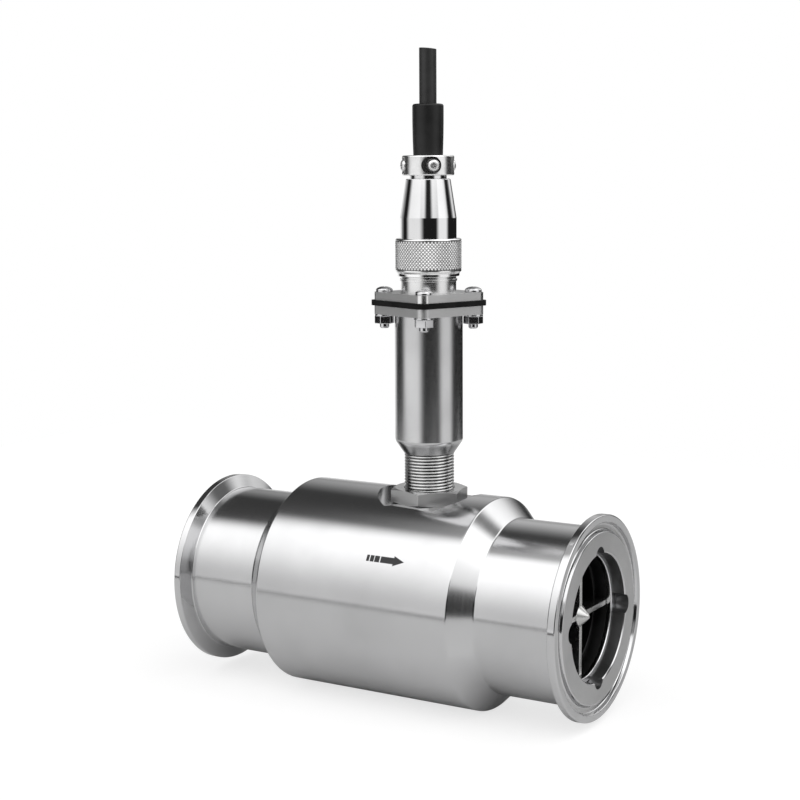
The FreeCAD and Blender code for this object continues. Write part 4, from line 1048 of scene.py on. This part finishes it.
mirror = surfaced(*metal("mirror_chrome", (0.90, 0.90, 0.905), 0.08, (90, 90, 90), 4e-7))
shell = turned([
    (SHELL_BASE, SHELL_BORE, 0.1),
    (SHELL_BASE, SHELL_RADIUS, 0.2),
    (SHELL_CONE, SHELL_RADIUS, 0.12),
    (SHELL_TOP, SHELL_END, 0.35),
    (SHELL_TOP, NECK_OUTER, 0),
    (NECK_TOP, NECK_OUTER, 0.1),
    (NECK_TOP, NECK_BORE, 0.1),
    (SHELL_TOP - SHELL_WALL, NECK_BORE, 0.1),
    (SHELL_TOP - SHELL_WALL, SHELL_END - SHELL_WALL, 0),
    (SHELL_CONE, SHELL_BORE, 0),
], steps=224)
fitted("chrome_backshell", shell, [mirror], "plug", "connector_chrome", "backshell")


# The clamp ring: a cast ring, chromed, with four round pockets whose insides are painted darker, as
# painted shade. The cross recess screws in them grip the boot.
CLAMP_RADIUS = 8.2
CLAMP_BASE = span("clamp_ring", 2)[0]
CLAMP_TOP = span("clamp_ring", 2)[1]
CLAMP_MIDDLE = (CLAMP_BASE + CLAMP_TOP) / 2
CLAMP_TURN = math.radians(-47)
POCKET_RADIUS = 2.75
POCKET_STRETCH = 1.14
POCKET_ASIDE = -0.75
POCKET_FLOOR = 6.5
POCKET_CUT = 4
POCKET_EDGE = 0.05
POCKET_SHADE_RADII = (CLAMP_RADIUS - 0.15, CLAMP_RADIUS - 0.6)
POCKET_SHADE_COLOUR = (0.33, 0.33, 0.33, 1)
CLAMP_HEAD = 1.95
CLAMP_HEAD_ROUND = 1.2
CLAMP_HEAD_TOP = 0.1
CLAMP_REACH = 8.75
CLAMP_SHANK = 1.25
CLAMP_SHANK_LIFT = 0.01
CLAMP_CROSS = 0.3
CLAMP_CROSS_SIZE = 0.85

ring = turned([
    (CLAMP_BASE, NECK_OUTER, 0),
    (CLAMP_BASE, CLAMP_RADIUS, 0.45),
    (CLAMP_TOP, CLAMP_RADIUS, 0.45),
    (CLAMP_TOP, NECK_BORE, 0.15),
    (NECK_TOP, NECK_BORE, 0),
    (NECK_TOP, NECK_OUTER, 0),
], steps=192)
pockets = bmesh.new()
heads = bmesh.new()
recesses = bmesh.new()
outwards = Matrix.Rotation(math.pi / 2, 4, "Y")
for quarter in range(QUARTERS):
    facing = (Matrix.Translation((STEM, 0, CLAMP_MIDDLE))
              @ Matrix.Rotation(CLAMP_TURN + math.tau * quarter / QUARTERS, 4, "Z") @ outwards)
    aside = Matrix.Translation((0, POCKET_ASIDE, POCKET_FLOOR + POCKET_CUT / 2))
    oval = Matrix.Diagonal((1, POCKET_STRETCH, 1, 1))
    rod(pockets, 56, POCKET_RADIUS, POCKET_CUT, facing @ aside @ oval)
    before = set(heads.verts)
    head = rod(heads, 48, CLAMP_HEAD, CLAMP_REACH - POCKET_FLOOR,
               Matrix.Translation((0, 0, (CLAMP_REACH + POCKET_FLOOR) / 2)))
    rim = [line for line in heads.edges if all(
        vert in head and vert.co.z > CLAMP_REACH - CLAMP_HEAD_TOP for vert in line.verts)]
    rounded_off(heads, rim, CLAMP_HEAD_ROUND, 6)
    rod(heads, 32, CLAMP_SHANK, POCKET_FLOOR - NECK_BORE,
        Matrix.Translation((0, 0, (POCKET_FLOOR + NECK_BORE) / 2 + CLAMP_SHANK_LIFT)))
    added = [vert for vert in heads.verts if vert not in before]
    bmesh.ops.transform(heads, matrix=facing, verts=added)
    crossed = Matrix.Translation((0, 0, CLAMP_REACH)) @ Matrix.Rotation(CLAMP_CROSS, 4, "Z")
    cross_recess(recesses, facing @ crossed, CLAMP_CROSS_SIZE)
ring = cut(ring, pockets)
worn_steel = surfaced(*metal("clamp_screw_steel", (0.80, 0.80, 0.80), 0.34, (700, 700, 700), 8e-6))
cast_chrome, shader, sockets = metal("cast_chrome", (0.95, 0.95, 0.95), 0.22, (330, 330, 330), 3e-5,
                                     cloud=400)
x, y, z = from_stem(shader)
# Painted shade: inside the pockets the chrome is coloured darker.
sunk = reach(x, y).step(*(radius * MM for radius in POCKET_SHADE_RADII))
off_middle = (z - CLAMP_MIDDLE * MM).math("ABSOLUTE")
pocket_shade = sunk * off_middle.math("LESS_THAN", (POCKET_RADIUS + POCKET_EDGE) * MM)
sockets["Base Color"] = shader.mixed(pocket_shade, sockets["Base Color"], POCKET_SHADE_COLOUR)
cast_chrome = surfaced(cast_chrome, shader, sockets)
fitted("chrome_clamp_ring", ring, [cast_chrome], "plug", "connector_chrome", "clamp_ring")
fitted("clamp_screw_heads", cut(heads, recesses), [worn_steel], "plug", "fastener_steel", "clamp_screws")


# The cable: a black rubber boot in the clamp ring, and out of it the jacket, cut off a short way
# above, with three insulated cores of stranded copper inside.
BOOT_TOP = span("cable_boot", 2)[1]
BOOT_BELLY = 4.9
BOOT_BELLY_RISE = 7.95
CABLE_RADIUS = 2.7
CABLE_TOP = span("cable_jacket", 2)[1]
JACKET_BASE = span("cable_jacket", 2)[0]
JACKET_BORE = 2.12
CUT_ZONE = 1
CUT_LIFT = 0.25
CUT_SLANT = 0.09
CUT_UPWARDS = Vector((-0.857, -0.515, 0))

boot = turned([
    (NECK_TOP, CABLE_RADIUS, 0),
    (NECK_TOP, NECK_BORE, 0.1),
    (CLAMP_TOP, NECK_BORE, 0.3),
    (CLAMP_TOP + BOOT_BELLY_RISE, BOOT_BELLY, 2.5),
    (BOOT_TOP, BOOT_BELLY, 0.7),
    (BOOT_TOP, CABLE_RADIUS, 0.2),
], steps=96)
boot_rubber = moulded("boot_rubber", (0.008, 0.008, 0.008), 0.42, 0.5, 2e-5, shine=0.32)
fitted("rubber_boot", boot, [boot_rubber], "plug", "boot_rubber", "cable_boot")
jacket = turned([
    (JACKET_BASE, JACKET_BORE, 0.1),
    (JACKET_BASE, CABLE_RADIUS, 0.1),
    (CABLE_TOP, CABLE_RADIUS, 0.12),
    (CABLE_TOP, JACKET_BORE, 0.08),
], steps=72)
# The jacket was cut off a little aslant, higher to the left.
for vert in jacket.verts:
    if vert.co.z > CABLE_TOP - CUT_ZONE:
        leftwards = (vert.co - Vector((STEM, 0, 0))).dot(CUT_UPWARDS)
        vert.co.z += CUT_LIFT + leftwards * CUT_SLANT
jacket_rubber = moulded("cable_jacket_rubber", (0.016, 0.016, 0.016), 0.42, 0.5, 1.5e-5, shine=0.42)
fitted("jacket", jacket, [jacket_rubber], "plug", "cable_jacket", "cable_jacket")

# Each core has its own colour of insulation, and copper shows in the middle of its cut end.
CORE_CIRCLE = 1.12
COPPER_RADIUS = 0.52
CUT_THICKNESS = 0.03
CORE_BROWN = (0.16, 0.055, 0.025, 1)
CORE_BLUE = (0.02, 0.09, 0.34, 1)
CORE_BLACK = (0.012, 0.012, 0.012, 1)
CORE_COPPER = (0.70, 0.30, 0.15, 1)
CORE_SECTOR = math.pi / 3

core_finish, shader = start_finish("core_insulation")
x, y, z = from_stem(shader)
turn = y.math("ARCTAN2", x)
to_nearest = turn.math("WRAP", CORE_SECTOR, -CORE_SECTOR)
ahead = reach(x, y) * to_nearest.math("COSINE") - CORE_CIRCLE * MM
aside = reach(x, y) * to_nearest.math("SINE")
at_end = z.math("GREATER_THAN", (CABLE_TOP - CUT_THICKNESS) * MM)
bare = reach(ahead, aside).math("LESS_THAN", COPPER_RADIUS * MM) * at_end
insulation = shader.mixed(turn.math("GREATER_THAN", CORE_SECTOR), CORE_BROWN, CORE_BLUE)
insulation = shader.mixed(turn.math("LESS_THAN", -CORE_SECTOR), insulation, CORE_BLACK)
carried_over("cable_cores", surfaced(core_finish, shader, {
    "Base Color": shader.mixed(bare, insulation, CORE_COPPER), "Metallic": bare, "Roughness": 0.4}))
